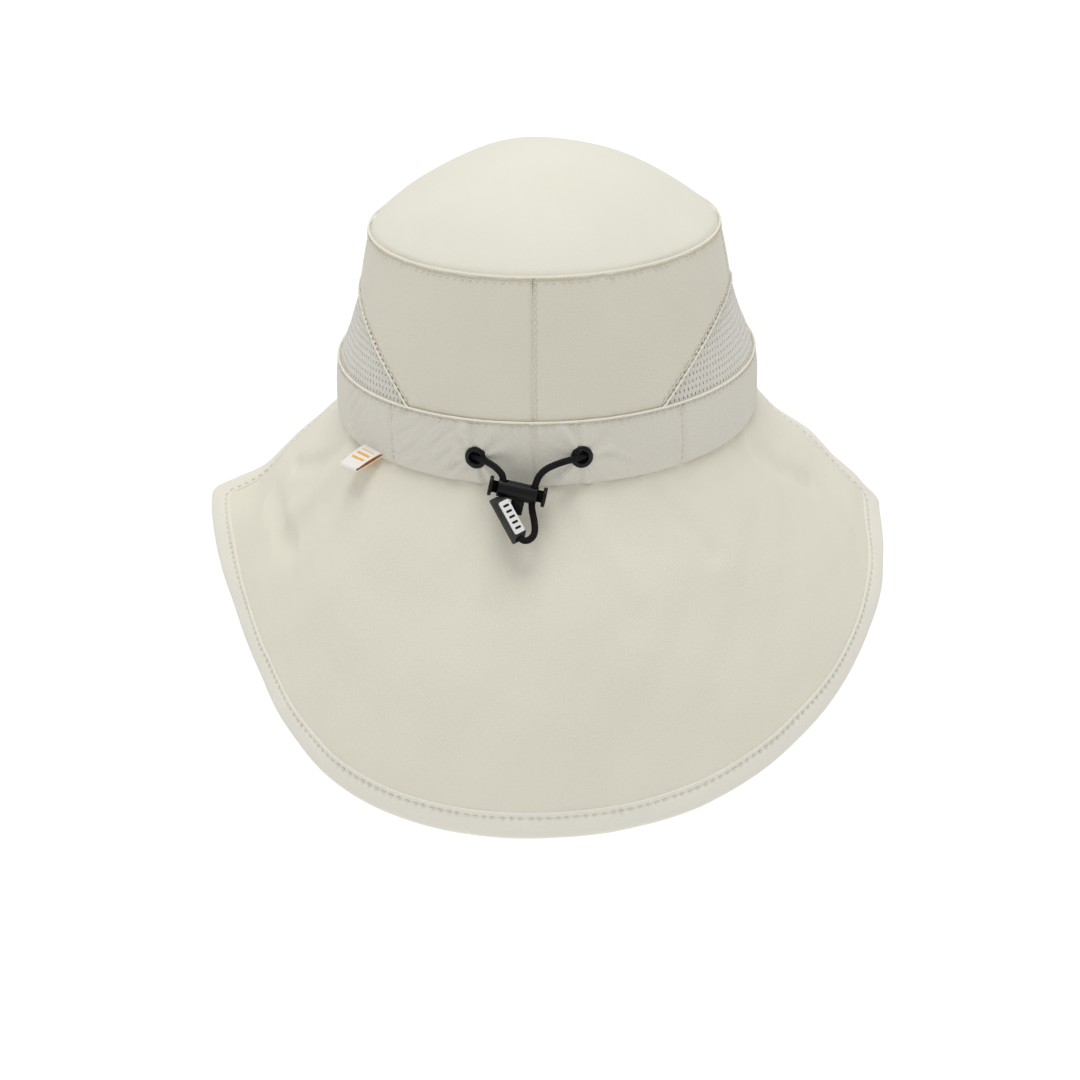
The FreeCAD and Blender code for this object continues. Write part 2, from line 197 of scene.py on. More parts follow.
class Paint:
    """One material, built by expressions."""

    def __init__(self, name):
        self.material = bpy.data.materials.new(name)
        self.material.use_nodes = True
        self.tree = self.material.node_tree
        self.tree.nodes.clear()

    def node(self, kind, settings=None, inputs=None, output=0):
        """Adds a node of a kind, with its settings first, and then its sockets from values or links."""
        made = self.tree.nodes.new("ShaderNode" + kind)
        for key, setting in (settings or {}).items():
            setattr(made, key, setting)
        for key, given in (inputs or {}).items():
            if isinstance(given, Value):
                self.tree.links.new(given.socket, made.inputs[key])
            else:
                made.inputs[key].default_value = given
        return Value(self, made, output)

    def mix(self, share, first, second):
        """A colour between two, by a share."""
        return self.node("Mix", {"data_type": "RGBA"}, {0: share, 6: first, 7: second}, 2)

    def uv(self):
        """The two coordinates along the cloth, in metres."""
        split = self.node("SeparateXYZ", None, {0: self.node("TexCoord", None, None, "UV")})
        return split.out("X"), split.out("Y")

    def noise(self, scale, detail):
        """Soft noise from 0 to 1, fixed to the object's own place; scale is in waves per metre."""
        place = self.node("TexCoord", None, None, "Object")
        return self.node("TexNoise", None, {"Vector": place, "Scale": scale, "Detail": detail})

    def finish(self, colour, height=None, roughness=0.8, **constants):
        """Ends the tree in a Principled shader; the height is in metres and becomes a bump."""
        inputs = {"Base Color": colour, "Roughness": roughness}
        inputs.update({key.replace("_", " "): constant for key, constant in constants.items()})
        if height is not None:
            inputs["Normal"] = self.node("Bump", None, {"Strength": 1.0, "Distance": 1.0, "Height": height})
        shader = self.node("BsdfPrincipled", None, inputs)
        self.node("OutputMaterial", None, {"Surface": shader})
        return self.material


def srgb(red, green, blue):
    """A linear colour from the three 0 to 255 numbers that a screen shows."""
    parts = np.array([red, green, blue]) / 255
    linear = np.where(parts > 0.04045, ((parts + 0.055) / 1.055) ** 2.4, parts / 12.92)
    return (*linear.tolist(), 1.0)


# %% [markdown]
# ## The finishes
# The hat is one cloth: a fine plain weave, cream, dyed evenly but never quite flat in tone. The weave could
# be an image laid over the cloth, but two sine waves multiplied together already give the over and under of a
# plain weave, and they stay sharp close up. Slow noise changes the tone a little, as dye and handling do.

# %% Cloth
def woven(name, colour, shade, thread=0.5, depth=0.024, crumple=0.09, sheen=0.12):
    """A plain weave: sin(u) sin(v) gives its bumps; thread, depth and crumple are in millimetres."""
    paint = Paint(name)
    u, v = paint.uv()
    turns = math.pi / (thread * MM)
    weave = (u * turns).sin() * (v * turns).sin()
    slub = paint.noise(900.0, 3.0)
    cloud = paint.noise(28.0, 3.0)
    crease = paint.noise(110.0, 3.0)
    share = cloud * 0.55 + slub * 0.2 + weave * 0.09
    tone = paint.mix(share, colour, shade)
    height = weave * (depth * MM) + slub * (1.5 * depth * MM) + crease * (crumple * MM)
    rough = 0.78 + slub * 0.14
    return paint.finish(tone, height, rough, Sheen_Weight=sheen, Sheen_Roughness=0.5, Specular_IOR_Level=0.25)


CREAM = (235, 231, 216)
crown_cloth = woven("crown cloth", srgb(233, 231, 218), srgb(223, 220, 205))
# The wall panels are the same cloth as the tip, made darker: painted shade for the upright wall, which takes
# less light.
wall_cloth_painted_shade = woven("wall cloth with painted shade", srgb(223, 219, 204), srgb(210, 206, 190), 0.5, 0.03, 0.09)
# The band is the same cloth, made darker still: painted shade for the band, which sits low under the wall and
# gets less light.
band_cloth = woven("band cloth with painted shade", srgb(224, 220, 209), srgb(211, 207, 194), 0.7, 0.06, 0.06)
cape_cloth = woven("cape cloth", srgb(*CREAM), srgb(225, 220, 204))
# The hem is the same cloth as the cape, made lighter and cooler: painted light on the folded hem.
hem_cloth_painted_light = woven("hem cloth with painted light", srgb(239, 236, 225), srgb(230, 226, 213))
brim_cloth = woven("brim cloth", srgb(*CREAM), srgb(223, 217, 201), 0.5, 0.02, 0.03)
tape_cloth = woven("seam tape", srgb(232, 225, 206), srgb(222, 214, 194), 0.7, 0.04, 0.02)
welt_cloth = woven("welt cloth", srgb(240, 236, 222), srgb(230, 224, 208), 0.5, 0.02, 0.03)

# %% [markdown]
# The sweatband is a brushed knit, so its rows are columns of loops: a sine across and a faster one along.
# Thread is twisted, which shows as fine slanting lines on each stitch.

# %% Knit and thread
def knitted(name, colour, shade, loop=0.9):
    """Columns of loops: sin(u) across, bent by sin(v) along."""
    paint = Paint(name)
    u, v = paint.uv()
    turns = 2 * math.pi / (loop * MM)
    column = (u * turns + (v * turns * 1.3).sin() * 0.8).sin()
    fuzz = paint.noise(1500.0, 2.0)
    tone = paint.mix(column * 0.15 + fuzz * 0.5, colour, shade)
    height = column * (0.04 * MM) + fuzz * (0.06 * MM)
    return paint.finish(tone, height, 0.92, Sheen_Weight=0.35, Sheen_Roughness=0.4)


def twisted(name, colour, shade):
    """Thread: slanting lines from the sum of the two coordinates."""
    paint = Paint(name)
    u, v = paint.uv()
    twist = ((u + v * 0.6) * (2 * math.pi / (0.32 * MM))).sin()
    tone = paint.mix(twist * 0.25 + 0.4, colour, shade)
    return paint.finish(tone, twist * (0.015 * MM), 0.6, Sheen_Weight=0.1)


knit = knitted("sweatband knit", srgb(214, 208, 194), srgb(196, 190, 174))
vent_knit = knitted("vent knit", srgb(222, 219, 209), srgb(208, 205, 194), 0.6)
# The sheet behind the vents is darker than the knit: painted shade for the inside of the hat, seen through the
# holes.
vent_shade_sheet = knitted("vent shade sheet", srgb(196, 191, 178), srgb(182, 176, 163), 0.6)
thread = twisted("cream thread", srgb(234, 229, 213), srgb(216, 210, 192))

# %% [markdown]
# The hard parts are moulded: black plastic with the fine grain of a spark-eroded mould, dark grey rubber for
# the pull, and a smooth white plate. The cord is black braided elastic.

# %% Moulded parts and cord
def moulded(name, colour, shade, roughness, grain, scale, **constants):
    """Plastic or rubber: a fine grain, in millimetres, and a slow change in the roughness."""
    paint = Paint(name)
    speck = paint.noise(scale, 4.0)
    wear = paint.noise(160.0, 3.0)
    tone = paint.mix(wear * 0.6 + speck * 0.3, colour, shade)
    return paint.finish(tone, speck * (grain * MM), roughness - 0.12 + wear * 0.24, **constants)


def braided(name, colour, shade, pitch=0.62):
    """Braid: two slanting waves multiplied, from u round the cord and v along it."""
    paint = Paint(name)
    u, v = paint.uv()
    turns = 2 * math.pi / (pitch * MM)
    over = ((u + v) * turns).sin() * ((u - v) * turns).sin()
    fuzz = paint.noise(2500.0, 2.0)
    tone = paint.mix(over * 0.35 + 0.5, colour, shade)
    return paint.finish(tone, over * (0.03 * MM) + fuzz * (0.02 * MM), 0.6, Specular_IOR_Level=0.14)


black_plastic = moulded("black plastic", srgb(9, 9, 10), srgb(17, 17, 18), 0.38, 0.03, 2200.0,
                        Specular_IOR_Level=0.22)
eyelet_plastic = moulded("eyelet plastic", srgb(9, 9, 10), srgb(16, 16, 18), 0.3, 0.012, 1500.0,
                         Specular_IOR_Level=0.3)
rubber = moulded("pull rubber", srgb(44, 44, 43), srgb(60, 59, 57), 0.55, 0.03, 1800.0,
                 Specular_IOR_Level=0.3)
white_plate = moulded("plate", srgb(240, 240, 238), srgb(232, 232, 229), 0.35, 0.004, 900.0,
                      Coat_Weight=0.2)
black_ink = moulded("plate bars", srgb(12, 12, 13), srgb(20, 20, 22), 0.45, 0.004, 900.0,
                    Specular_IOR_Level=0.2)
spring_wire = moulded("spring wire", srgb(190, 190, 188), srgb(168, 168, 166), 0.35, 0.004, 900.0,
                      Metallic=1.0)
elastic = braided("elastic braid", srgb(9, 9, 10), srgb(22, 22, 24))
print(len(bpy.data.materials), "finishes")

# %% [markdown]
# ## Sheets of cloth as grids
# A panel is a surface of two parameters, so it is worked out as one array of points. Real cloth has two faces
# and an edge: the same grid moved in along its normals gives the other face, and strips of faces close it.

# %% Grid helpers
def unit(vectors):
    """Each vector over its own length."""
    return vectors / np.maximum(np.linalg.norm(vectors, axis=-1, keepdims=True), 1e-12)


def grid_normals(points, around=False):
    """The cross product of a grid's two directions; around says that its first direction closes on itself."""
    if around:
        along = np.roll(points, -1, 0) - np.roll(points, 1, 0)
    else:
        along = np.gradient(points, axis=0)
    return unit(np.cross(along, np.gradient(points, axis=1)))


def cloth_uv(points, around=False):
    """Metres along a grid's two directions, measured down its middle row and column."""
    rows, columns = points.shape[:2]
    path = np.concatenate([points, points[:1]]) if around else points
    middle = path[:, columns // 2]
    u = np.concatenate([[0], np.cumsum(np.linalg.norm(np.diff(middle, axis=0), axis=1))])
    v = np.concatenate([[0], np.cumsum(np.linalg.norm(np.diff(points[rows // 2], axis=0), axis=1))])
    return np.stack(np.meshgrid(u, v, indexing="ij"), axis=-1)


def signed_volume(vertices, quads):
    """Six times the volume inside closed faces: positive when they point outwards."""
    a, b, c, d = (vertices[quads[:, k]] for k in range(4))
    return (a * np.cross(b, c)).sum() + (a * np.cross(c, d)).sum()


def mesh_object(name, vertices, quads, uv, materials, inner_faces=None):
    """Arrays to an object: four corners a face, a UV for each corner, and smooth shading but for sharp folds.

    Every mesh here is closed, so a negative volume says that its faces point inwards, and they are turned."""
    uv = np.asarray(uv).reshape(-1, 4, 2)
    if signed_volume(vertices - vertices.mean(0), quads) < 0:
        quads = quads[:, ::-1]
        uv = uv[:, ::-1]
    used, quads = np.unique(quads, return_inverse=True)
    quads = quads.reshape(-1, 4)
    mesh = bpy.data.meshes.new(name)
    mesh.vertices.add(len(used))
    mesh.vertices.foreach_set("co", vertices[used].astype(np.float32).ravel())
    mesh.loops.add(quads.size)
    mesh.loops.foreach_set("vertex_index", quads.astype(np.int32).ravel())
    mesh.polygons.add(len(quads))
    mesh.polygons.foreach_set("loop_start", np.arange(0, quads.size, 4, dtype=np.int32))
    mesh.update(calc_edges=True)
    layer = mesh.uv_layers.new(name="UVMap")
    layer.data.foreach_set("uv", uv.astype(np.float32).ravel())
    for material in materials:
        mesh.materials.append(material)
    if inner_faces is not None and len(materials) > 1:
        mesh.polygons.foreach_set("material_index", inner_faces.astype(np.int32))
    mesh.shade_smooth()
    mesh.set_sharp_from_angle(angle=math.radians(50))
    piece = bpy.data.objects.new(name, mesh)
    bpy.context.scene.collection.objects.link(piece)
    return piece


def cell_quads(index, around=False):
    """The corners of every cell of a grid of indices, in the order that faces along the normals."""
    after = np.roll(index, -1, 0) if around else index[1:]
    here = index if around else index[:-1]
    corners = [here[:, :-1], after[:, :-1], after[:, 1:], here[:, 1:]]
    return np.stack(corners, axis=-1).reshape(-1, 4)


def closed_sheet(name, points, normals, depth, top, marks, uv, materials):
    """Cloth from its outer faces: the same faces moved in by the depth, and a wall along every free edge.

    A free edge is one whose two ends no neighbouring face names in the other order."""
    count = len(points)
    start = top.ravel()
    end = np.roll(top, -1, axis=1).ravel()
    free = ~np.isin(start * count + end, end * count + start)
    a, b = start[free], end[free]
    mark_a, mark_b = marks.ravel()[free], np.roll(marks, -1, axis=1).ravel()[free]
    wall = np.stack([b, a, a + count, b + count], axis=-1)
    wall_marks = np.stack([mark_b, mark_a, mark_a, mark_b], axis=-1)
    quads = np.concatenate([top, top[:, ::-1] + count, wall])
    corners = uv[np.concatenate([marks, marks[:, ::-1], wall_marks]).ravel()]
    is_inner = np.zeros(len(quads))
    is_inner[len(top):2 * len(top)] = 1
    vertices = np.concatenate([points, points - normals * depth])
    piece = mesh_object(name, vertices, quads, corners, materials, is_inner)
    print("%-22s %6d faces" % (name, len(quads)))
    return piece


def cloth(name, points, thickness, materials, outside, around=False, keep=None):
    """A grid of points as closed cloth. outside is a direction that the outer face looks along, one for all
    or one for each point; keep is a mask of cells, False where a hole is."""
    if (grid_normals(points, around) * outside).sum() < 0:
        points = points[:, ::-1]
        keep = None if keep is None else keep[:, ::-1]
    normals = grid_normals(points, around)
    depth = np.broadcast_to(np.asarray(thickness, float), points.shape[:2]).reshape(-1, 1)
    rows, columns = points.shape[:2]
    index = np.arange(rows * columns).reshape(rows, columns)
    far = np.arange((rows + around) * columns).reshape(rows + around, columns)
    chosen = slice(None) if keep is None else keep.ravel()
    top = cell_quads(index, around)[chosen]
    marks = cell_quads(far)[chosen]
    uv = cloth_uv(points, around).reshape(-1, 2)
    return closed_sheet(name, points.reshape(-1, 3), normals.reshape(-1, 3), depth, top, marks, uv, materials)


def ripple(points, wavelength, seed, waves=9):
    """Soft uneven relief from -1 to 1: a sum of plane waves with directions and phases drawn from a seed."""
    random = np.random.default_rng(seed)
    directions = unit(random.normal(size=(waves, 3)))
    numbers = 2 * math.pi / (wavelength * random.uniform(0.7, 1.5, waves))
    phases = random.uniform(0, 2 * math.pi, waves)
    return np.sin(points @ (directions * numbers[:, None]).T + phases).mean(-1) * 1.6


def bell(distance, width):
    """A smooth bump of height 1 at distance 0."""
    return np.exp(-(distance / width) ** 2)


def smooth_step(x):
    """0 below 0, 1 above 1, and smooth between."""
    x = np.clip(x, 0, 1)
    return x * x * (3 - 2 * x)


# %% [markdown]
# ## Tubes and stitches
# Two shapes repeat along every seam. A welt is the rolled edge that stands up where two panels are sewn, a
# thin tube laid along the seam. A stitch is a short capsule of thread that dives into the cloth at both ends;
# each has only a few dozen faces, because the hat has well over a thousand.

# %% Tubes and stitches
def along_path(path, distance, vectors=None):
    """What a line of points, or the vectors given at them, come to at distances along the line."""
    steps = np.concatenate([[0], np.cumsum(np.linalg.norm(np.diff(path, axis=0), axis=1))])
    vectors = path if vectors is None else vectors
    return np.stack([np.interp(distance, steps, vectors[:, k]) for k in range(3)], axis=-1)


def path_length(path):
    return np.linalg.norm(np.diff(path, axis=0), axis=1).sum()


def tube_grid(path, normals, radius, sides):
    """A circle carried along a path: its centre, plus cosines along the normal and sines across it."""
    tangents = unit(np.gradient(path, axis=0))
    across = unit(np.cross(tangents, normals))
    lift = np.cross(across, tangents)
    angles = np.linspace(0, 2 * math.pi, sides, endpoint=False)
    radius = np.broadcast_to(radius, (len(path), sides))[..., None]
    ring = np.cos(angles)[:, None] * lift[:, None] + np.sin(angles)[:, None] * across[:, None]
    return path[:, None] + ring * radius


def tube_piece(name, grid, materials, closed=False):
    """A mesh from rings of points; an open tube is closed by a small fan at each end."""
    rings, sides = grid.shape[:2]
    index = np.arange(rings * sides).reshape(rings, sides)
    index = np.concatenate([index, index[:, :1]], axis=1)
    far = np.arange((rings + closed) * (sides + 1)).reshape(rings + closed, sides + 1)
    quads = cell_quads(index, closed)
    marks = cell_quads(far)
    line = grid.mean(1)
    line = np.concatenate([line, line[:1]]) if closed else line
    lengths = np.concatenate([[0], np.cumsum(np.linalg.norm(np.diff(line, axis=0), axis=1))])
    rounds = np.concatenate([grid[0], grid[0, :1]])
    girth = np.concatenate([[0], np.cumsum(np.linalg.norm(np.diff(rounds, axis=0), axis=1))])
    uv = np.stack(np.meshgrid(lengths, girth, indexing="ij"), axis=-1)[..., ::-1].reshape(-1, 2)
    if not closed:
        k = np.arange(sides // 2 - 1)
        fan = np.stack([k, k + 1, sides - 2 - k, sides - 1 - k], axis=-1)
        quads = np.concatenate([quads, fan, fan[:, ::-1] + (rings - 1) * sides])
        marks = np.concatenate([marks, fan, fan[:, ::-1] + (rings - 1) * (sides + 1)])
    return mesh_object(name, grid.reshape(-1, 3), quads, uv[marks.ravel()], materials)


def welt(name, path, normals, radius=0.4, closed=False, seed=1):
    """A thin rolled edge along a seam, its radius in millimetres a little uneven, as sewn cloth is."""
    steps = np.linspace(0, path_length(path), int(path_length(path) / (0.9 * MM)))
    steps = steps[:-1] if closed else steps
    line = along_path(path, steps)
    uneven = 1 + 0.16 * ripple(line, 5 * MM, seed)
    grid = tube_grid(line, unit(along_path(path, steps, normals)), (radius * MM * uneven)[:, None], 8)
    return tube_piece(name, grid, [welt_cloth], closed)


STITCH_RINGS = 5
STITCH_SIDES = 6


def stitches(name, path, normals, pitch=STITCH_PITCH, share=0.68, lift=0.16, radius=THREAD, seed=3):
    """A row of capsules: each follows the path for a share of the pitch, high in the middle, low at its ends.

    lift is in millimetres, and pitch and radius are in metres."""
    total = path_length(path)
    count = max(2, int(round(total / pitch)))
    random = np.random.default_rng(seed)
    centres = (np.arange(count) + 0.5) * total / count + random.normal(0, 0.05 * pitch, count)
    way = np.linspace(-1, 1, STITCH_RINGS)
    at = np.clip(centres[:, None] + way * 0.5 * share * pitch, 0, total)
    middle = along_path(path, at)
    up = unit(along_path(path, at, normals))
    tangent = unit(np.gradient(middle, axis=1))
    across = unit(np.cross(tangent, up))
    rise = (lift - 0.34 * way ** 4) * MM
    lean = random.normal(0, 0.06 * MM, (count, 1)) * way
    middle = middle + up * rise[:, None] + across * lean[..., None]
    angles = np.linspace(0, 2 * math.pi, STITCH_SIDES, endpoint=False)
    round_ring = up[:, :, None] * np.cos(angles)[:, None] + across[:, :, None] * np.sin(angles)[:, None]
    size = radius * np.array([0.45, 0.95, 1.0, 0.95, 0.45])
    points = middle[:, :, None] + round_ring * size[:, None, None]
    index = np.arange(points[..., 0].size).reshape(count, STITCH_RINGS, STITCH_SIDES)
    index = np.concatenate([index, index[:, :, :1]], axis=2)
    corners = [index[:, :-1, :-1], index[:, :-1, 1:], index[:, 1:, 1:], index[:, 1:, :-1]]
    sides = np.stack(corners, axis=-1).reshape(-1, 4)
    first = index[:, 0]
    last = index[:, -1]
    caps = [first[:, [3, 2, 1, 0]], first[:, [5, 4, 3, 0]], last[:, [0, 1, 2, 3]], last[:, [0, 3, 4, 5]]]
    quads = np.concatenate([sides] + caps)
    turn = np.broadcast_to(angles / (2 * math.pi) * 6 * radius, points.shape[:3])
    uv = np.stack([turn, np.broadcast_to(at[:, :, None], points.shape[:3])], axis=-1).reshape(-1, 2)
    piece = mesh_object(name, points.reshape(-1, 3), quads, uv[quads.ravel()], [thread])
    print("%-22s %6d stitches" % (name, count))
    return piece


# %% [markdown]
# ## The crown
# The wall is a cone between two ovals, so a point of it needs an angle and a height. Each panel is cut from
# that cone. The vent panels end in an arch: its height at an angle is found by going back and forth between
# the arch and the cone a few times, which settles quickly. Each panel dips into its seams, and swells a
# little between them; slow ripples stand for the way cloth never lies quite flat.

# %% Oval and wall
def oval_ring(t, r, z):
    """The point at angle t from the back, on the oval of half width r, at height z."""
    t, r, z = np.broadcast_arrays(t, r, z)
    return np.stack([r * np.sin(t), r * OVAL * np.cos(t), z], axis=-1)


def oval_out(t):
    """The level outward direction of the oval at angle t."""
    t = np.asarray(t, float)
    return unit(np.stack([np.sin(t), np.cos(t) / OVAL, np.zeros_like(t)], axis=-1))


def wall_r(z):
    """Half width of the crown's wall at a height."""
    return BAND_TOP_R + (TIP_R - BAND_TOP_R) * (z - BAND_H) / (TIP_Z - BAND_H)


WALL_SPREAD = 82                          # millimetres round the wall for each radian, about
SEAM_SPREAD = 80                          # the same for the upright seams and the vents
WALL_CELL = 1.15                          # width of a cell of the wall, millimetres
ARCH_HALF = (VENT_Y1 - VENT_Y0) / 2
ARCH_RISE = VENT_TOP_Z - BAND_H
ARCH_R = (ARCH_HALF ** 2 + ARCH_RISE ** 2) / (2 * ARCH_RISE)


def arch_z(t):
    """The height of the vent's arch on the wall at angle t, or the band's top where there is no vent."""
    z = np.full(np.shape(t), BAND_H)
    for _ in range(14):
        from_middle = wall_r(z) * OVAL * np.cos(t) - (VENT_Y0 + VENT_Y1) / 2
        inside = np.clip(ARCH_R ** 2 - from_middle ** 2, 0, None)
        z = np.maximum(VENT_TOP_Z - ARCH_R + np.sqrt(inside), BAND_H)
    return z


SIDE_HOLLOW = 1.9 * MM


def side_hollow(t, z):
    """Metres that the wall goes in at the wearer's sides, most half way between band and tip."""
    share = np.clip((z - BAND_H) / (TIP_Z - BAND_H), 0, 1)
    return SIDE_HOLLOW * np.sin(t) ** 4 * np.sin(math.pi * share)


def wall_panel(name, start, end, seed):
    """A wall panel between two angles: from the band or the vent's arch up to the tip seam."""
    columns = int(abs(end - start) * WALL_SPREAD / WALL_CELL)
    t, q = np.meshgrid(np.linspace(start, end, columns), np.linspace(0, 1, 44), indexing="ij")
    low = arch_z(t)
    z = low + (TIP_Z - low) * q
    base = oval_ring(t, wall_r(z), z)
    arc = np.stack([t * WALL_SPREAD * MM, 0 * t, 0.25 * z], axis=-1)
    below_tip = TIP_Z - z
    seams = bell(below_tip, 1.0 * MM) + bell(z - low, 1.0 * MM)
    seams += bell((t - start) * SEAM_SPREAD * MM, 0.9 * MM) + bell((end - t) * SEAM_SPREAD * MM, 0.9 * MM)
    pucker = bell(below_tip, 6 * MM) * 0.28 + bell(z - low, 5 * MM) * 0.18
    relief = 0.55 * np.sin(math.pi * q) - side_hollow(t, z) / MM
    relief += 0.55 * ripple(base, 30 * MM, seed) * np.sin(math.pi * q)
    relief += pucker * ripple(arc, 6.5 * MM, seed + 50) - 0.75 * seams
    points = base + oval_out(t) * (relief * MM)[..., None]
    return cloth(name, points, WALL, [wall_cloth_painted_shade], oval_out(t))


TIP_CELLS = 150
TIP_SINK_RIGHT = 11.0                     # the tip lies lower part way out: 0.15 of these in millimetres
TIP_SINK_LEFT = 4.0


def dome_grid():
    """The tip: a square grid pressed into a disc, x = a sqrt(1 - b^2 / 2) and the same for y, on a sphere."""
    a, b = np.meshgrid(np.linspace(-1, 1, TIP_CELLS), np.linspace(-1, 1, TIP_CELLS), indexing="ij")
    x = a * np.sqrt(1 - b ** 2 / 2)
    y = b * np.sqrt(1 - a ** 2 / 2)
    q = np.hypot(x, y)
    sphere_r = (TIP_R ** 2 + DOME_H ** 2) / (2 * DOME_H)
    z = TIP_Z + DOME_H - sphere_r + np.sqrt(sphere_r ** 2 - (q * TIP_R) ** 2)
    flat = np.stack([x * TIP_R, y * TIP_R * OVAL, z], axis=-1)
    edge = (1 - q) * TIP_R
    turn = np.arctan2(x, y)
    arc = np.stack([np.sin(turn), np.cos(turn), 0 * turn], axis=-1) * TIP_R
    relief = 0.5 * ripple(flat, 42 * MM, 11) * smooth_step(edge / (12 * MM))
    relief -= (TIP_SINK_RIGHT * smooth_step(0.3 - x) * q ** 2 * (1 - q)
               + TIP_SINK_LEFT * smooth_step(x) * q ** 2 * (1 - q))
    relief += 0.32 * bell(edge, 7 * MM) * ripple(arc, 7 * MM, 12) - 0.7 * bell(edge, 0.9 * MM)
    away = unit(flat - np.array([0, 0, TIP_Z + DOME_H - sphere_r]))
    return flat + away * (relief * MM)[..., None]


crown_top = cloth("crown_tip", dome_grid(), WALL, [crown_cloth], np.array([0, 0, 1.0]))
back_left = wall_panel("crown_back_panel_left", 0.0, SIDE_SEAM, 21)
back_right = wall_panel("crown_back_panel_right", -SIDE_SEAM, 0.0, 22)
crown_front = wall_panel("crown_front_panel", SIDE_SEAM, 2 * math.pi - SIDE_SEAM, 23)

# %% [markdown]
# ## The mesh vents
# The vents are a knit with rows of small long holes, each row half a step along from the last. A texture with
# alpha would look flat from the side, so the holes are cut in the mesh: one cell is a rectangle round an oval
# hole, eight points outside and eight inside, and the rows' corners meet the next row's middles. Behind it
# lies a plain darker sheet, painted shade, so that the holes look shaded and not empty.

# %% Vents
VENT_STEP = math.radians(1.5)
VENT_ROW = 2.15 * MM
VENT_DEPTH = 0.5 * MM
VENT_START = math.radians(31)
VENT_SPAN = math.radians(104)
SHADE_SHEET_START = math.radians(37)
SHADE_SHEET_END = math.radians(128)
HOLE_WIDE = 0.15                          # half sizes and slant of a hole, in shares of its cell
HOLE_TALL = 0.30
HOLE_LEAN = 0.05


def vent(side, name):
    """Cells of the knit under the arch; side is 1 on the left and -1 on the right."""
    rows = int((VENT_TOP_Z - BAND_H) / VENT_ROW) + 2
    columns = int(VENT_SPAN / VENT_STEP)
    row, column = np.meshgrid(np.arange(rows), np.arange(columns), indexing="ij")
    t = VENT_START + (column + 0.5 * (row % 2)) * VENT_STEP
    z = BAND_H - 1.2 * MM + row * VENT_ROW
    inside = z < arch_z(t) + 1.0 * MM
    inside &= arch_z(t) > BAND_H + 0.3 * MM
    t, z = t[inside], z[inside]
    box_x = np.array([-0.5, -0.5, 0, 0.5, 0.5, 0.5, 0, -0.5])
    box_y = np.array([0, 0.5, 0.5, 0.5, 0, -0.5, -0.5, -0.5])
    angle = np.arctan2(box_y, box_x)
    hole_x = HOLE_WIDE * np.cos(angle) + HOLE_LEAN * np.sin(angle)
    hole_y = HOLE_TALL * np.sin(angle)
    x = np.concatenate([box_x, hole_x])
    y = np.concatenate([box_y, hole_y])
    all_t = (t[:, None] + x * VENT_STEP).ravel()
    all_z = (z[:, None] + y * VENT_ROW).ravel()
    key = np.round(np.stack([all_t * 1e5, all_z * 1e7], axis=-1)).astype(int)
    _, first, again = np.unique(key, axis=0, return_index=True, return_inverse=True)
    all_t, all_z = all_t[first], all_z[first]
    cells = again.reshape(len(t), 16)
    k = np.arange(8)
    after = (k + 1) % 8
    corners = [cells[:, k], cells[:, after], cells[:, 8 + after], cells[:, 8 + k]]
    quads = np.stack(corners, axis=-1).reshape(-1, 4)
    base = oval_ring(side * all_t, wall_r(all_z), all_z)
    out = oval_out(side * all_t)
    relief = -0.45 + 0.3 * ripple(base, 12 * MM, 31) - side_hollow(all_t, all_z) / MM
    points = base + out * (relief * MM)[:, None]
    uv = np.stack([all_t * SEAM_SPREAD * MM, all_z], axis=-1)
    return closed_sheet(name, points, out, VENT_DEPTH, quads[:, ::side], quads[:, ::side], uv, [vent_knit])


def shade_sheet_behind_vent(side, name):
    """The darker sheet behind the vent, painted shade seen through its holes, from under the band to the arch.
    """
    round_it = np.linspace(SHADE_SHEET_START, SHADE_SHEET_END, 110)
    t, q = np.meshgrid(round_it, np.linspace(0, 1, 14), indexing="ij")
    z = BAND_H - 1 * MM + (arch_z(t) + 0.6 * MM - BAND_H + 1 * MM) * q
    points = oval_ring(side * t, wall_r(z) - 1.25 * MM - side_hollow(t, z), z)
    return cloth(name, points, 0.25 * MM, [vent_shade_sheet], oval_out(side * t))


vent_left = vent(1, "vent_mesh_left")
vent_right = vent(-1, "vent_mesh_right")
shade_sheet_left = shade_sheet_behind_vent(1, "vent_lining_left")
shade_sheet_right = shade_sheet_behind_vent(-1, "vent_lining_right")

# %% [markdown]
# ## The band
# The band is a tube of cloth that holds the drawcord, so it is a little puffed between its two seams. Where
# the cord is drawn through an eyelet the cloth gathers: creases fan out from the eyelet. They are waves of
# the angle round it, strongest a few millimetres out, and the eyelet itself sits in a dimple. Cells under
# the eyelet are left out of the grid, so that the cord really goes through.

# %% Band
EYELET_LEFT = np.array([19.3, 85.7, 9.3]) * MM
EYELET_RIGHT = np.array([-16.2, 86.5, 9.9]) * MM
EYELET_GAP = 3.2 * MM                     # cells nearer than this are left out

BAND_SPREAD = 85                          # millimetres round the band for each radian, about
BACK_SPREAD = 87                          # a wider figure, for the eyelets and the centre seam
BAND_CELL = 0.8                           # width of a cell of the band, millimetres

BAND_GATHERS = (
    # angle, slope of the waves and their height in millimetres
    (0.42, 0.75, 0.6),
    (0.60, 0.6, 0.45),
    (-0.38, -0.5, 0.3),
    (1.0, 1.0, 0.5),
    (-0.85, -0.8, 0.35),
)


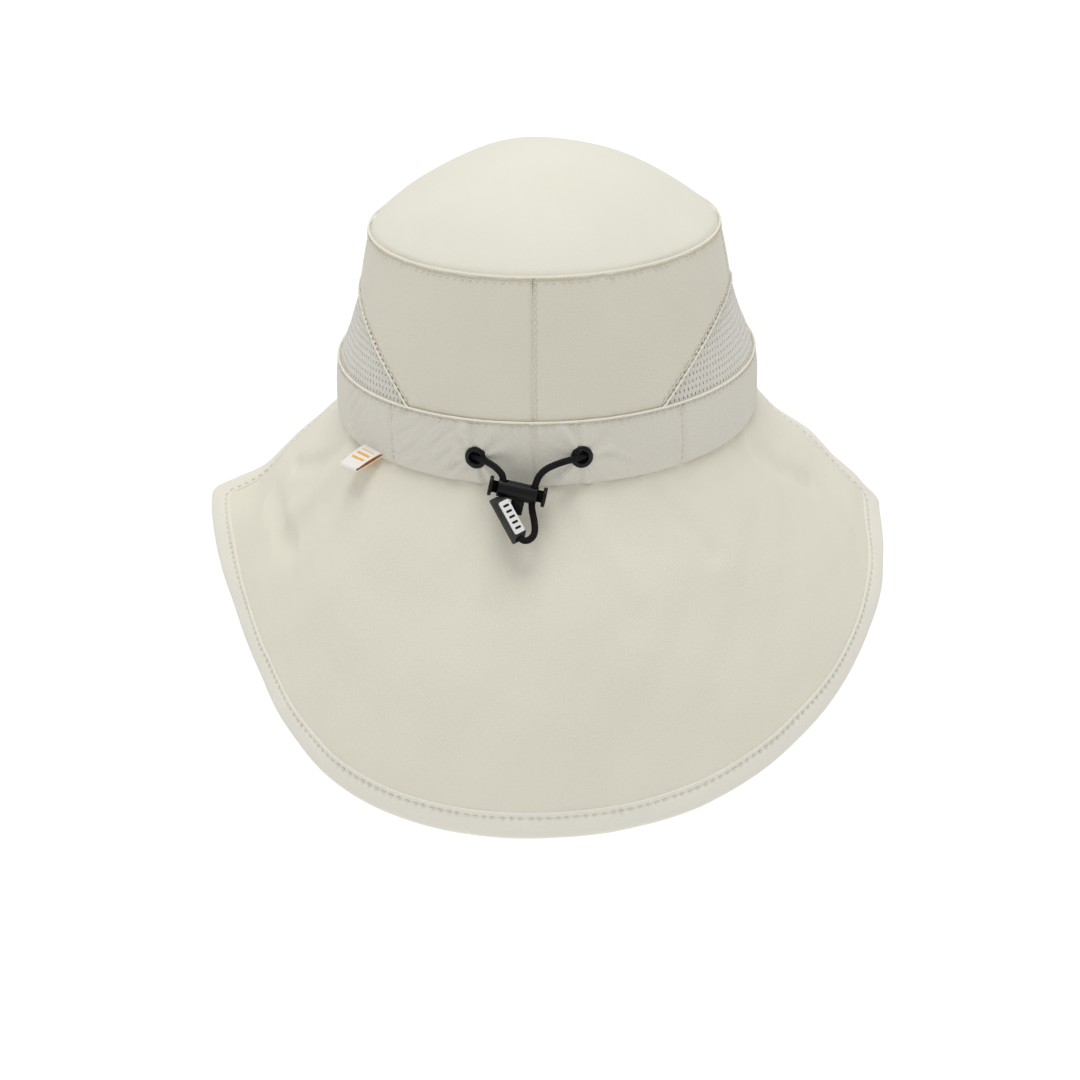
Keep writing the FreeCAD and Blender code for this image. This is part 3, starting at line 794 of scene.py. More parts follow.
def band_relief(points, t, v):
    """Height over the plain band in millimetres: puff, gathers round the eyelets and at the stitched ends."""
    relief = 0.95 * np.clip(np.sin(math.pi * v), 0, 1) ** 0.7
    relief += 0.3 * ripple(points, 17 * MM, 41) * np.sin(math.pi * v)
    relief -= 0.55 * bell(v * BAND_H, 1.0 * MM) + 0.7 * bell((1 - v) * BAND_H, 1.0 * MM)
    for number, centre in enumerate((EYELET_LEFT, EYELET_RIGHT)):
        across = (t - math.atan2(centre[0] / BAND_R, centre[1] / (BAND_R * OVAL))) * BACK_SPREAD * MM
        up = points[..., 2] - centre[2]
        reach = np.hypot(across, up)
        turn = np.arctan2(up, across)
        fan = np.sin(7 * turn + 1.3 * number) + 0.6 * np.sin(11 * turn + 2.0 + number)
        relief += 0.42 * fan * bell(reach - 9 * MM, 6 * MM)
        relief -= 0.9 * bell(reach, 4.6 * MM)
    for centre_t, slope, size in BAND_GATHERS:
        across = (t - centre_t) * BAND_SPREAD * MM
        wave = np.sin((across * slope + (points[..., 2] - 0.5 * BAND_H)) * (2 * math.pi / (6.5 * MM)))
        relief += size * wave * bell(across, 9 * MM) * np.sin(math.pi * v) ** 0.5
    for stitch in (-BAND_STITCH, BAND_STITCH, 2 * math.pi - BAND_STITCH):
        relief -= 0.7 * bell((t - stitch) * BAND_SPREAD * MM, 1.3 * MM)
    return relief - 0.6 * bell(t * BACK_SPREAD * MM, 0.8 * MM)


def band_piece(name, start, end):
    """A length of the band between two angles, with the cells under an eyelet left out."""
    columns = int(abs(end - start) * BAND_SPREAD / BAND_CELL)
    t, v = np.meshgrid(np.linspace(start, end, columns), np.linspace(0, 1, 34), indexing="ij")
    r = BAND_R + (BAND_TOP_R - BAND_R) * v
    base = oval_ring(t, r, v * BAND_H)
    points = base + oval_out(t) * (band_relief(base, t, np.clip(v, 0, 1)) * MM)[..., None]
    middle = (base[1:, 1:] + base[:-1, :-1]) / 2
    keep = np.ones(middle.shape[:2], bool)
    for centre in (EYELET_LEFT, EYELET_RIGHT):
        keep &= np.linalg.norm(middle - centre, axis=-1) > EYELET_GAP
    return cloth(name, points, 0.9 * MM, [band_cloth], oval_out(t), keep=keep)


band_left = band_piece("band_length_left", 0.0, BAND_STITCH)
band_right = band_piece("band_length_right", -BAND_STITCH, 0.0)
band_front = band_piece("band_length_front", BAND_STITCH, 2 * math.pi - BAND_STITCH)

# %% [markdown]
# Inside the band are the knit sweatband, which touches the head, and the tapes that close the casing. They
# are plain rings, but their edges show from below, so each is a closed strip of its own thickness.

# %% Sweatband and tapes
SWEAT_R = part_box("sweatband")[1].x
SWEAT_Z0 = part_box("sweatband")[0].z
SWEAT_Z1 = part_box("sweatband")[1].z


def ring_strip(name, low, high, thickness, material, outside, rows=8, wobble=0.0):
    """A strip all round the oval between two (half width, height) ends."""
    all_round = np.linspace(0, 2 * math.pi, 300, endpoint=False)
    t, q = np.meshgrid(all_round, np.linspace(0, 1, rows), indexing="ij")
    r = low[0] + (high[0] - low[0]) * q
    base = oval_ring(t, r, low[1] + (high[1] - low[1]) * q)
    base = base + oval_out(t) * (wobble * MM * ripple(base, 16 * MM, 51) * np.sin(math.pi * q))[..., None]
    direction = oval_out(t) if outside == "out" else np.array([0, 0, outside])
    return cloth(name, base, thickness, [material], direction, around=True)


TAPE_R = TIP_R - WALL
TAPE_INNER_R = SWEAT_R + 0.1 * MM
CASING_GAP = 1.3 * MM                     # from the band's face to the tapes' outer edges
sweatband = ring_strip("sweatband_knit", (SWEAT_R, SWEAT_Z0), (SWEAT_R, SWEAT_Z1),
                       1 * MM, knit, "out", 16, 0.25)
lower_tape = ring_strip("casing_tape_lower", (TAPE_INNER_R, SWEAT_Z0), (BAND_R - CASING_GAP, SWEAT_Z0),
                        1.0 * MM, tape_cloth, -1.0)
upper_tape = ring_strip("casing_tape_upper", (TAPE_INNER_R, SWEAT_Z1), (BAND_TOP_R - CASING_GAP, SWEAT_Z1),
                        1.0 * MM, tape_cloth, 1.0)
tip_tape = ring_strip("tip_tape", (TAPE_R + 1.2 * MM, TIP_Z - 5 * MM), (TAPE_R, TIP_Z - 0.5 * MM),
                      0.5 * MM, tape_cloth, "out")

# %% [markdown]
# ## The neck cape
# The cape hangs from the band's lower edge and flares to a wide round hem. Every point lies on a straight run
# from the band to the hem, lifted by a bulge that is largest half way down, and then moved along the normal
# by soft folds. A cloth simulation could make the folds, but it would need the pattern and the tension of the
# stitches, which aren't known, so the folds are listed: a few dents, a few creases and slow ripples.

# %% Cape surface
HEM_UNEVEN = (
    # place along the hem from -1 to 1, width of the bell, and millimetres to the wearer's left
    (1, 0.13, 5.0),
    (0.62, 0.22, -7.5),
    (-0.93, 0.1, 1.4),
)
CAPE_BULGE = 7.0                          # millimetres at the back, half way down
CAPE_BULGE_LOSS = 8.5                     # how much of it is lost towards the front edges


def hem_point(turn):
    """The hem: half a superellipse in plan, falling to the back, and a little uneven.

    turn is -1, 0 and 1 at the right, the back and the left."""
    angle = turn * math.pi / 2
    c, s = np.cos(angle), np.sin(angle)
    r = (np.abs(c) ** HEM_POWER + np.abs(s) ** HEM_POWER) ** (-1 / HEM_POWER)
    y = HEM_CORNER_Y + HEM_REACH * c * r
    uneven = sum(amount * bell(turn - centre, width) for centre, width, amount in HEM_UNEVEN)
    x = HEM_HALF_W * s * r + uneven * MM
    return np.stack([x, y, HEM_CORNER_Z - HEM_FALL * (y - HEM_CORNER_Y)], axis=-1)


def cape_plain(t, s):
    """The cape without folds: t round the band from the back, s from band to hem, as arrays of one shape."""
    top = oval_ring(t, BAND_R, 0.0)
    run = hem_point(t / CAPE_SPAN) - top
    down = unit(run)
    proud = unit(np.array([0, 0, 1.0]) - down * down[..., 2:])
    bulge = (CAPE_BULGE - CAPE_BULGE_LOSS * (t / CAPE_SPAN) ** 2) * MM
    return top + run * s[..., None] + proud * (4 * bulge * s * (1 - s))[..., None]


CAPE_ROUND = 95                           # millimetres of cape for each radian, about
CAPE_RUN = 105                            # millimetres from band to hem, about

CAPE_DENTS = (
    # angle, share of the way down, width round, width down, depth in millimetres
    (-0.02, 0.30, 0.16, 0.16, -2.2),
    (0.22, 0.24, 0.10, 0.14, -0.7),
    (-0.42, 0.18, 0.20, 0.10, -0.8),
    (1.42, 0.18, 0.16, 0.22, -1.8),
    (1.45, 0.50, 0.22, 0.20, -3.0),
    (1.62, 0.62, 0.10, 0.25, -1.2),
    (1.98, 0.74, 0.30, 0.17, -5.0),
    (-1.45, 0.30, 0.14, 0.22, -1.6),
    (-1.20, 0.62, 0.16, 0.22, 1.2),
    (0.75, 0.50, 0.25, 0.22, 1.0),
    (0.0, 0.62, 0.40, 0.25, 0.8),
    (-CAPE_SPAN, 1.0, 0.24, 0.24, -4.0),
)

CREASE_STRENGTH = 1.9
CAPE_CREASES = (
    # angle and share at one end, the same at the other, half width and depth in millimetres
    (1.20, 0.04, 1.72, 0.42, 4.0, -1.1),
    (1.02, 0.05, 1.50, 0.50, 6.0, 1.0),
    (1.35, 0.55, 1.75, 0.62, 6.0, -1.0),
    (0.05, 0.10, 0.16, 0.36, 5.0, -0.7),
    (-0.20, 0.05, -0.42, 0.34, 5.0, 0.6),
    (-0.55, 0.03, -0.78, 0.30, 4.0, -0.5),
    (-1.25, 0.06, -1.62, 0.44, 5.0, -1.0),
    (-0.35, 0.55, 0.10, 0.80, 12.0, 0.6),
    (0.55, 0.40, 0.85, 0.85, 10.0, -0.6),
    (-0.80, 0.45, -1.00, 0.85, 9.0, -0.6),
)


def crease(t, s, t0, s0, t1, s1, width, depth):
    """A soft crease along a segment: the bell of the distance to it, in the cape's own millimetres."""
    x, y = t * CAPE_ROUND, s * CAPE_RUN
    x0, y0 = t0 * CAPE_ROUND, s0 * CAPE_RUN
    across, down = (t1 - t0) * CAPE_ROUND, (s1 - s0) * CAPE_RUN
    share = np.clip(((x - x0) * across + (y - y0) * down) / (across ** 2 + down ** 2), 0, 1)
    return depth * bell(np.hypot(x - x0 - share * across, y - y0 - share * down), width)


def cape_folds(t, s):
    """Folds in millimetres: broad and fine ripples, listed dents and creases, and puckers under the band."""
    plan = np.stack([t * CAPE_ROUND, s * CAPE_RUN, 0 * t], axis=-1) * MM
    free = smooth_step(s / 0.35)
    folds = 1.3 * ripple(plan, 62 * MM, 61) * free + 0.75 * ripple(plan, 24 * MM, 62) * free
    folds += 0.10 * ripple(plan, 9 * MM, 63)
    folds += 0.8 * bell(s - 0.04, 0.12) * ripple(plan * np.array([1, 0.2, 0]), 12 * MM, 64)
    for centre, share, wide, tall, depth in CAPE_DENTS:
        folds += depth * bell(t - centre, wide) * bell(s - share, tall)
    for line in CAPE_CREASES:
        folds += CREASE_STRENGTH * crease(t, s, *line)
    return folds * smooth_step(s / 0.06 + 0.3) - 0.8 * bell(s, 0.03)


def cape_lifted(t, s):
    """The cape with its folds raised straight up, which is near enough for its normals."""
    return cape_plain(t, s) + np.array([0, 0, MM]) * cape_folds(t, s)[..., None]


def cape_normal(t, s):
    """The upward normal, from two small steps of the folded surface."""
    step = 2e-3
    along = cape_lifted(t + step, s) - cape_lifted(t - step, s)
    down = cape_lifted(t, s + step) - cape_lifted(t, s - step)
    normal = unit(np.cross(along, down))
    return normal * np.sign(normal[..., 2:])


def cape_at(t, s, height=0.0):
    """A point of the folded cape, a height over its face."""
    plain = cape_plain(t, s)
    normal = cape_normal(t, s)
    return plain + normal * (cape_folds(t, s) * MM + height)[..., None]


def cape_bends(piece):
    """Bakes the piece's transform into its mesh."""
    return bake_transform(piece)


# %% [markdown]
# The hem is a strip of the same cloth folded over and stitched. It runs down each front edge, round a small
# corner and right round the back, so its line is worked out in two distances, one from the front edge and
# one from the hem, and then turned into the surface's own parameters. The strip itself is a flat closed
# profile, with a rounded outer fold, a groove where the stitches pull it in and a ridge at its inner edge.

# %% Cape and hem
def run_length(t):
    """Metres from band to hem at angle t."""
    return np.linalg.norm(hem_point(t / CAPE_SPAN) - oval_ring(t, BAND_R, 0.0), axis=-1)


def front_edge_scale(s):
    """Metres per radian at the cape's front edge."""
    near = np.full_like(s, CAPE_SPAN)
    step = 0.01
    return np.linalg.norm(cape_plain(near, s) - cape_plain(near - step, s), axis=-1) / step


CORNER = 3.2 * MM


def hem_line(inset, steps_side=70, steps_corner=9, steps_back=520):
    """The line a distance in from the cape's free edge: (t, s) down one front edge, round, and up again."""
    front = run_length(np.array(CAPE_SPAN))
    tall = np.linspace(front * 0.97, inset + CORNER, steps_side)
    angle = np.linspace(0, math.pi / 2, steps_corner + 2)[1:-1]
    from_front = np.concatenate([np.full(steps_side, inset), inset + CORNER - CORNER * np.cos(angle)])
    from_hem = np.concatenate([tall, inset + CORNER - CORNER * np.sin(angle)])
    s = 1 - from_hem / front
    t = CAPE_SPAN - from_front / front_edge_scale(s)
    t_last = CAPE_SPAN - (inset + CORNER) / front_edge_scale(np.array([1 - inset / front]))[0]
    t_back = np.linspace(t_last, -t_last, steps_back)
    s_back = 1 - inset / run_length(t_back)
    return np.concatenate([t, t_back, -t[::-1]]), np.concatenate([s, s_back, s[::-1]])


HEM_PROFILE = (
    # distance in from the edge and height over the cape's face, millimetres
    (0.0, -0.55), (0.12, -0.1), (0.5, 0.32), (1.3, 0.52), (3.0, 0.55), (5.0, 0.48), (6.0, 0.34), (6.5, 0.12),
    (6.9, 0.08), (7.3, 0.26), (7.9, 0.46), (8.3, 0.42), (8.6, 0.15), (8.7, -0.4), (8.6, -1.4), (7.0, -1.75),
    (4.5, -1.85), (2.0, -1.8), (0.6, -1.55), (0.12, -1.05))


def hem_grid():
    """The profile carried along the free edge: one line of the surface for each of the profile's points."""
    lines = []
    for inset, height in HEM_PROFILE:
        t, s = hem_line(inset * MM)
        pulled = 0.10 * np.sin(np.arange(len(t)) * 2.05) * bell(inset - 6.6, 1.6)
        swell = 0.16 * ripple(np.stack([t * 120 * MM, s * 90 * MM, 0 * t], axis=-1), 13 * MM, 71)
        lines.append(cape_at(t, s, (height + pulled + swell * (height > 0)) * MM))
    return np.stack(lines, axis=1)


HEM_OVERLAP = 4.5 * MM                    # the cloth ends inside the hem, this far from its edge
t_cloth = CAPE_SPAN - HEM_OVERLAP / front_edge_scale(np.array([0.5]))[0]
t_grid, s_grid = np.meshgrid(np.linspace(-t_cloth, t_cloth, 330), np.linspace(-0.045, 0.955, 106),
                             indexing="ij")
cape_points = cape_at(t_grid, s_grid)
cape = cloth("neck_cape", cape_points, 0.9 * MM, [cape_cloth], np.array([0, 0, 1.0]))
hem = tube_piece("neck_cape_hem", hem_grid(), [hem_cloth_painted_light])
print("hem faces", len(hem.data.polygons))

# %% [markdown]
# ## The brim
# Two layers of cloth over a stiffener, stitched in rows that press shallow grooves into it. It slopes down
# from under the band, more steeply at the sides, where it passes under the cape. Its inner edge turns up
# behind the band, so that no light comes through. Its outer edge is bound with a folded tape: a round profile
# carried along the outline.

# %% Brim
BRIM_ROWS = (0.14, 0.29, 0.44, 0.59, 0.74, 0.88)
BRIM_LOW_Z = -2.2 * MM
BRIM_HALF_W = 112 * MM
BRIM_REACH = 148 * MM
BRIM_DROP = 29                            # millimetres from the band to the edge at the front
BRIM_SIDE_DROP = 13                       # millimetres more at the sides
BRIM_DOME = 6.0 * MM
BRIM_ROUND = 100                          # millimetres of brim for each radian, about
BRIM_RUN = 65                             # millimetres from band to edge, about
BRIM_LIP = 3.4                            # millimetres that the inner edge turns up
BRIM_LIP_SPAN = 1.16                      # radians from the front that it reaches


def brim_plain(t, s):
    """The brim's upper face: a straight run from the band to its edge, a little domed at the front."""
    side = np.sin(t) ** 2
    top = oval_ring(t, BAND_R, BRIM_LOW_Z)
    drop = (BRIM_DROP + BRIM_SIDE_DROP * side) * MM
    edge = np.stack([BRIM_HALF_W * np.sin(t), BRIM_REACH * np.cos(t), BRIM_LOW_Z - drop], axis=-1)
    rise = BRIM_DOME * (1 - side) * s * (1 - s)
    return top + (edge - top) * s[..., None] + np.array([0, 0, 1.0]) * rise[..., None]


def brim_at(t, s, height=0.0):
    """A point over the brim's face, with its stitched grooves, slow unevenness and turned-up inner edge."""
    relief = 0.5 * ripple(np.stack([t * BRIM_ROUND, s * BRIM_RUN, 0 * t], axis=-1) * MM, 45 * MM, 81)
    for row in BRIM_ROWS:
        relief = relief - 0.28 * bell((s - row) * BRIM_RUN, 1.1)
    lip_share = smooth_step((BRIM_LIP_SPAN - np.abs(t - math.pi)) / 0.08)
    relief = relief + BRIM_LIP * bell(s + 0.02, 0.03) * lip_share
    return brim_plain(t, s) + np.array([0, 0, 1.0]) * (relief * MM + height)[..., None]


def brim_bends(piece):
    """Bakes the piece's transform into its mesh."""
    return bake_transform(piece)


BINDING_PROFILE = np.array([
    # share of the way from band to edge and height over the brim's face, millimetres
    (0.955, 0.55), (0.965, 0.75), (0.985, 0.65), (0.998, 0.1), (1.0, -0.9), (0.995, -2.0), (0.98, -2.75),
    (0.96, -2.7), (0.95, -2.3), (0.948, -0.8)])


def brim_binding():
    """The folded tape round the brim's edge: an oval profile carried along the outline."""
    t = np.linspace(math.pi - BRIM_SPAN, math.pi + BRIM_SPAN, 420)
    lines = [brim_at(t, np.full_like(t, s), height * MM) for s, height in BINDING_PROFILE]
    return np.stack(lines, axis=1)


t_grid, s_grid = np.meshgrid(np.linspace(math.pi - BRIM_SPAN, math.pi + BRIM_SPAN, 260),
                             np.linspace(-0.02, 0.97, 114), indexing="ij")
brim_points = brim_at(t_grid, s_grid)
brim = cloth("sun_brim", brim_points, 1.9 * MM, [brim_cloth], np.array([0, 0, 1.0]))
binding = tube_piece("sun_brim_binding", brim_binding(), [tape_cloth])

# %% [markdown]
# ## Seams and stitches
# Seams are where the eye tests sewn work. Where two panels meet, a rolled edge stands up, and beside it runs
# a row of stitches on the panel that was pressed flat. Each row is a line on a surface and the normals there.

# %% Crown seams
T_ALL = np.linspace(0, 2 * math.pi, 721)


def wall_line(t, z, height):
    """Points over the crown's wall and their outward directions."""
    out = oval_out(t)
    return oval_ring(t, wall_r(z), z) + out * (height * MM - side_hollow(t, z))[..., None], out


def level_line(z, height, r):
    """A line all round at one height, and its outward directions."""
    out = oval_out(T_ALL)
    return oval_ring(T_ALL, r, z) + out * (height * MM), out


seam_pieces = []
tip_line, tip_out = level_line(TIP_Z + 0.1 * MM, 0.15, TIP_R)
seam_pieces.append(welt("tip_welt", tip_line, tip_out, 0.4, True, 91))
tip_row, _ = level_line(TIP_Z - 1.7 * MM, -0.05, wall_r(TIP_Z - 1.7 * MM))
seam_pieces.append(stitches("tip_stitches", tip_row, tip_out, seed=92))
band_line, band_out = level_line(BAND_H, 0.05, BAND_TOP_R)
seam_pieces.append(welt("band_welt", band_line, band_out, 0.42, True, 93))
band_row, _ = level_line(BAND_H - 1.5 * MM, 0.25, BAND_TOP_R)
seam_pieces.append(stitches("band_stitches", band_row, band_out, seed=94))

for side, label in ((1, "left"), (-1, "right")):
    t_arch = np.linspace(math.acos(VENT_Y1 / (BAND_TOP_R * OVAL)) + 0.001,
                         math.acos(VENT_Y0 / (BAND_TOP_R * OVAL)) - 0.001, 240)
    arch, arch_out = wall_line(side * t_arch, arch_z(t_arch), np.full_like(t_arch, 0.05))
    seam_pieces.append(welt("vent_welt_" + label, arch, arch_out, 0.4, False, 95 + side))
    beside, beside_out = wall_line(side * t_arch, arch_z(t_arch) + 1.6 * MM, np.full_like(t_arch, 0.3))
    seam_pieces.append(stitches("vent_stitches_" + label, beside, beside_out, seed=97 + side))

for t_seam, label, panel_seed in ((0.0, "back", 22), (SIDE_SEAM, "left", 21), (-SIDE_SEAM, "right", 23)):
    z_low = float(arch_z(np.array([t_seam]))[0]) + 1 * MM
    rise = np.linspace(z_low, TIP_Z - 2 * MM, 60)
    offset = -1.25 * MM / (WALL_SPREAD * MM)
    share = (rise - z_low) / (TIP_Z - z_low)
    bare, _ = wall_line(np.full_like(rise, t_seam + offset), rise, 0 * rise)
    puff = 0.55 * np.sin(math.pi * share) * (1 + ripple(bare, 30 * MM, panel_seed))
    sunk = 0.35 * abs(math.sin(t_seam))
    row, row_out = wall_line(np.full_like(rise, t_seam + offset), rise, puff + 0.02 - sunk)
    seam_pieces.append(stitches("wall_stitches_" + label, row, row_out, 2.4 * MM, seed=101))

# %% [markdown]
# The band's own rows: upright stitches that close the casing at each side of the back, and the doubled centre
# seam. Then the hem, the brim's rows and the inside of the sweatband.

# %% Band, hem and brim stitches
def upright_row(name, t, height, seed):
    """A row from the band's lower edge to its upper one, sunk where the casing is stitched through."""
    v = np.linspace(0.06, 0.95, 40)
    row = oval_ring(np.full_like(v, t), BAND_R + (BAND_TOP_R - BAND_R) * v, v * BAND_H)
    lift = height + 0.85 * np.sin(math.pi * v) ** 0.7
    out = np.broadcast_to(oval_out(t), row.shape)
    seam_pieces.append(stitches(name, row + out * (lift * MM)[:, None], out, 2.2 * MM, seed=seed))


upright_row("casing_stitches_left", BAND_STITCH, -0.62, 111)
upright_row("casing_stitches_right", -BAND_STITCH, -0.62, 112)
upright_row("band_back_stitches", -1.5 * MM / (88 * MM), 0.12, 113)
sweat_row = oval_ring(T_ALL, SWEAT_R - 1.05 * MM, SWEAT_Z0 + 2.2 * MM)
seam_pieces.append(stitches("sweatband_stitches", sweat_row, -oval_out(T_ALL), seed=114))

t_row, s_row = hem_line(6.7 * MM)
hem_row = cape_at(t_row, s_row, 0.18 * MM)
hem_stitches = stitches("hem_stitches", hem_row, cape_normal(t_row, s_row),
                        3.05 * MM, 0.66, 0.1, 0.24 * MM, 115)
brim_rows = []
t_row = np.linspace(math.pi - BRIM_SPAN + 0.02, math.pi + BRIM_SPAN - 0.02, 400)
up = np.broadcast_to(np.array([0, 0, 1.0]), (len(t_row), 3))
for number, share in enumerate(BRIM_ROWS + (0.962,)):
    lift = 0.8 if share > 0.95 else 0.02
    row = brim_at(t_row, np.full_like(t_row, share), lift * MM)
    brim_rows.append(stitches("brim_stitches_%d" % (number + 1), row, up, seed=120 + number))

# %% [markdown]
# ## Eyelets
# An eyelet is round: a profile of (radius, height) points goes once round its axis. The flange is domed, with
# a groove and an inner lip, which is what shows as rings of light on the black.

# %% Eyelets
EYELET_PROFILE = np.array([
    # radius and height over the band, millimetres
    (2.15, -1.7), (2.1, -0.6), (2.12, 0.5), (2.3, 0.95), (2.6, 1.1), (2.85, 0.98), (2.98, 0.72), (3.15, 0.7),
    (3.35, 0.86), (3.6, 0.8), (3.82, 0.55), (3.9, 0.2), (3.85, -0.1), (2.7, -0.12), (2.62, -0.3),
    (2.6, -1.7)])


def turned(name, centre, axis, profile, material, steps=48):
    """Each profile point goes round the axis: centre + axis times height + radius times (cos, sin)."""
    axis = unit(np.asarray(axis, float))
    side = unit(np.cross(axis, [0, 0, 1.0]))
    over = np.cross(axis, side)
    angle = np.linspace(0, 2 * math.pi, steps, endpoint=False)[:, None, None]
    around = np.cos(angle) * side + np.sin(angle) * over
    grid = centre + around * (profile[:, :1] * MM) + axis * (profile[:, 1:] * MM)
    return tube_piece(name, grid, [material], closed=True)


eyelets = []
for label, centre in (("left", EYELET_LEFT), ("right", EYELET_RIGHT)):
    axis = unit(np.array([centre[0], centre[1] / OVAL ** 2, 0]))
    seat = centre + axis * 0.25 * MM
    eyelets.append(turned("eyelet_ring_" + label, seat, axis, EYELET_PROFILE, eyelet_plastic))

# %% [markdown]
# ## The drawcord
# The cord is one length of elastic, from its stitched end inside the casing, out of one eyelet, through the
# lock, round the loop that holds the pull, and back. Its line is a NURBS curve with the route's points as its
# control points. A bevelled curve would do, but the braid's relief has to be in the mesh, so the line is read
# from the curve and a tube with a braided surface is carried along it.

# %% Drawcord
CORD_D = 2.3 * MM
BRAID_PITCH = 2.4 * MM
BRAID_RELIEF = 0.035                      # share of the radius
CORD_ROUTE = np.array([
    (46.6, 66.6, 10.0), (38.4, 73.6, 10.1), (29.3, 79.3, 9.8), (20.6, 83.9, 9.5),
    (15.3, 89.8, 9.1), (12.0, 94.6, 8.9), (9.0, 97.0, 6.2), (10.4, 97.0, -1.4),
    (9.9, 99.7, -4.2), (7.6, 103.4, -6.2), (5.0, 105.5, -10.4), (3.2, 106.6, -12.3),
    (1.6, 106.8, -12.7), (-0.1, 106.0, -12.1), (-1.2, 104.4, -10.8), (-1.0, 101.7, -8.0),
    (0.5, 97.2, -3.6), (-1.0, 97.0, 3.8), (-3.4, 96.0, 8.2), (-8.9, 93.4, 10.0),
    (-14.4, 89.2, 10.1), (-19.0, 83.9, 9.9), (-27.4, 80.1, 9.9), (-37.2, 74.6, 10.1),
    (-46.6, 66.6, 10.0)]) * MM


def spline_line(route):
    """The smooth line of a NURBS curve with these control points, as the points of a mesh."""
    curve = bpy.data.curves.new("route", "CURVE")
    curve.dimensions = "3D"
    spline = curve.splines.new("NURBS")
    spline.points.add(len(route) - 1)
    spline.points.foreach_set("co", np.column_stack([route, np.ones(len(route))]).ravel())
    spline.order_u = 3
    spline.use_endpoint_u = True
    spline.resolution_u = 16
    holder = bpy.data.objects.new("route", curve)
    mesh = bpy.data.meshes.new_from_object(holder)
    line = np.zeros(len(mesh.vertices) * 3)
    mesh.vertices.foreach_get("co", line)
    bpy.data.objects.remove(holder)
    bpy.data.meshes.remove(mesh)
    return line.reshape(-1, 3)


def braid(name, line, diameter):
    """A tube whose radius goes in and out: 1 + a sin(m angle + k length) sin(m angle - k length)."""
    total = path_length(line)
    at = np.linspace(0, total, int(total / (0.3 * MM)))
    path = along_path(line, at)
    sides = 24
    angles = np.linspace(0, 2 * math.pi, sides, endpoint=False)
    along = at[:, None] * (2 * math.pi / BRAID_PITCH)
    over = np.sin(4 * angles + along) * np.sin(4 * angles - along)
    tangents = unit(np.gradient(path, axis=0))
    normals = np.zeros_like(path)
    normals[0] = unit(np.cross(tangents[0], [0, 0, 1.0]))
    for i in range(1, len(path)):
        carried = normals[i - 1] - tangents[i] * (normals[i - 1] @ tangents[i])
        normals[i] = carried / np.linalg.norm(carried)
    radius = diameter / 2 * (1 + BRAID_RELIEF * over)
    return tube_piece(name, tube_grid(path, normals, radius, sides), [elastic])


cord_line = spline_line(CORD_ROUTE)
drawcord = braid("drawcord_elastic", cord_line, CORD_D)


def bar_tack(name, end, inner):
    """The dense zigzag of thread that holds an end of the cord to the casing."""
    away = unit(end - inner)
    step = np.arange(26)
    zigzag = end + away * (1.5 + 1.1 * (-1.0) ** step)[:, None] * MM
    zigzag[:, 2] += (step / 25 - 0.5) * 7 * MM
    fine = along_path(zigzag, np.linspace(0, path_length(zigzag), 260))
    normals = np.broadcast_to(oval_out(math.atan2(end[0], end[1] / OVAL)), fine.shape)
    return tube_piece(name, tube_grid(fine, normals, np.full((len(fine), 1), 0.26 * MM), 6), [thread])


tack_left = bar_tack("bar_tack_left", CORD_ROUTE[0], CORD_ROUTE[1])
tack_right = bar_tack("bar_tack_right", CORD_ROUTE[-1], CORD_ROUTE[-2])

# %% [markdown]
# ## Cord lock and pull
# The lock and the pull are moulded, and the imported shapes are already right, with their holes and rounded
# edges. Their meshes are loose triangles, so a copy is merged and shaded smooth between its sharp edges.

# %% Moulded copies
def moulding(node, name, material, sharp=32):
    """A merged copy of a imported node, smooth but for its sharp edges."""
    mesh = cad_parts[node].data.copy()
    mesh.name = name
    work = bmesh.new()
    work.from_mesh(mesh)
    bmesh.ops.remove_doubles(work, verts=work.verts, dist=2e-6)
    work.to_mesh(mesh)
    work.free()
    mesh.materials.clear()
    mesh.materials.append(material)
    mesh.shade_smooth()
    mesh.set_sharp_from_angle(angle=math.radians(sharp))
    piece = bpy.data.objects.new(name, mesh)
    bpy.context.scene.collection.objects.link(piece)
    return piece


lock_body = moulding("lock_barrel", "cord_lock_barrel", black_plastic)
button_left = moulding("lock_button_left", "cord_lock_button_left", black_plastic)
button_right = moulding("lock_button_right", "cord_lock_button_right", black_plastic)
pull = moulding("pull_body", "cord_pull", rubber)
plate = moulding("pull_plate", "cord_pull_plate", white_plate)
for node, material in (("lock_spring", spring_wire), ("eyelet_washer_left", eyelet_plastic),
                       ("eyelet_washer_right", eyelet_plastic)):
    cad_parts[node].data.materials.clear()
    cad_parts[node].data.materials.append(material)

# %% [markdown]
# The plate carries five plain raised bars, so that it isn't blank. Each is a superellipsoid, a ball pushed
# towards a box: the sines and cosines of a ball's two angles are raised to a power below one.

# %% Plate bars
PULL_AXIS = unit(np.array([-0.485, 0.323, -0.812]))
PULL_FACE = unit(np.array([-0.583, 0.573, 0.576]))
PULL_ACROSS = np.cross(PULL_FACE, PULL_AXIS)


BAR_POWER = 0.35
BAR_PITCH = 2.05 * MM
BAR_SIZE = (2.6 * MM, 0.8 * MM, 0.18 * MM)
BAR_LIFT = 0.26 * MM


def signed_power(x):
    """A power that keeps the sign."""
    return np.sign(x) * np.abs(x) ** BAR_POWER


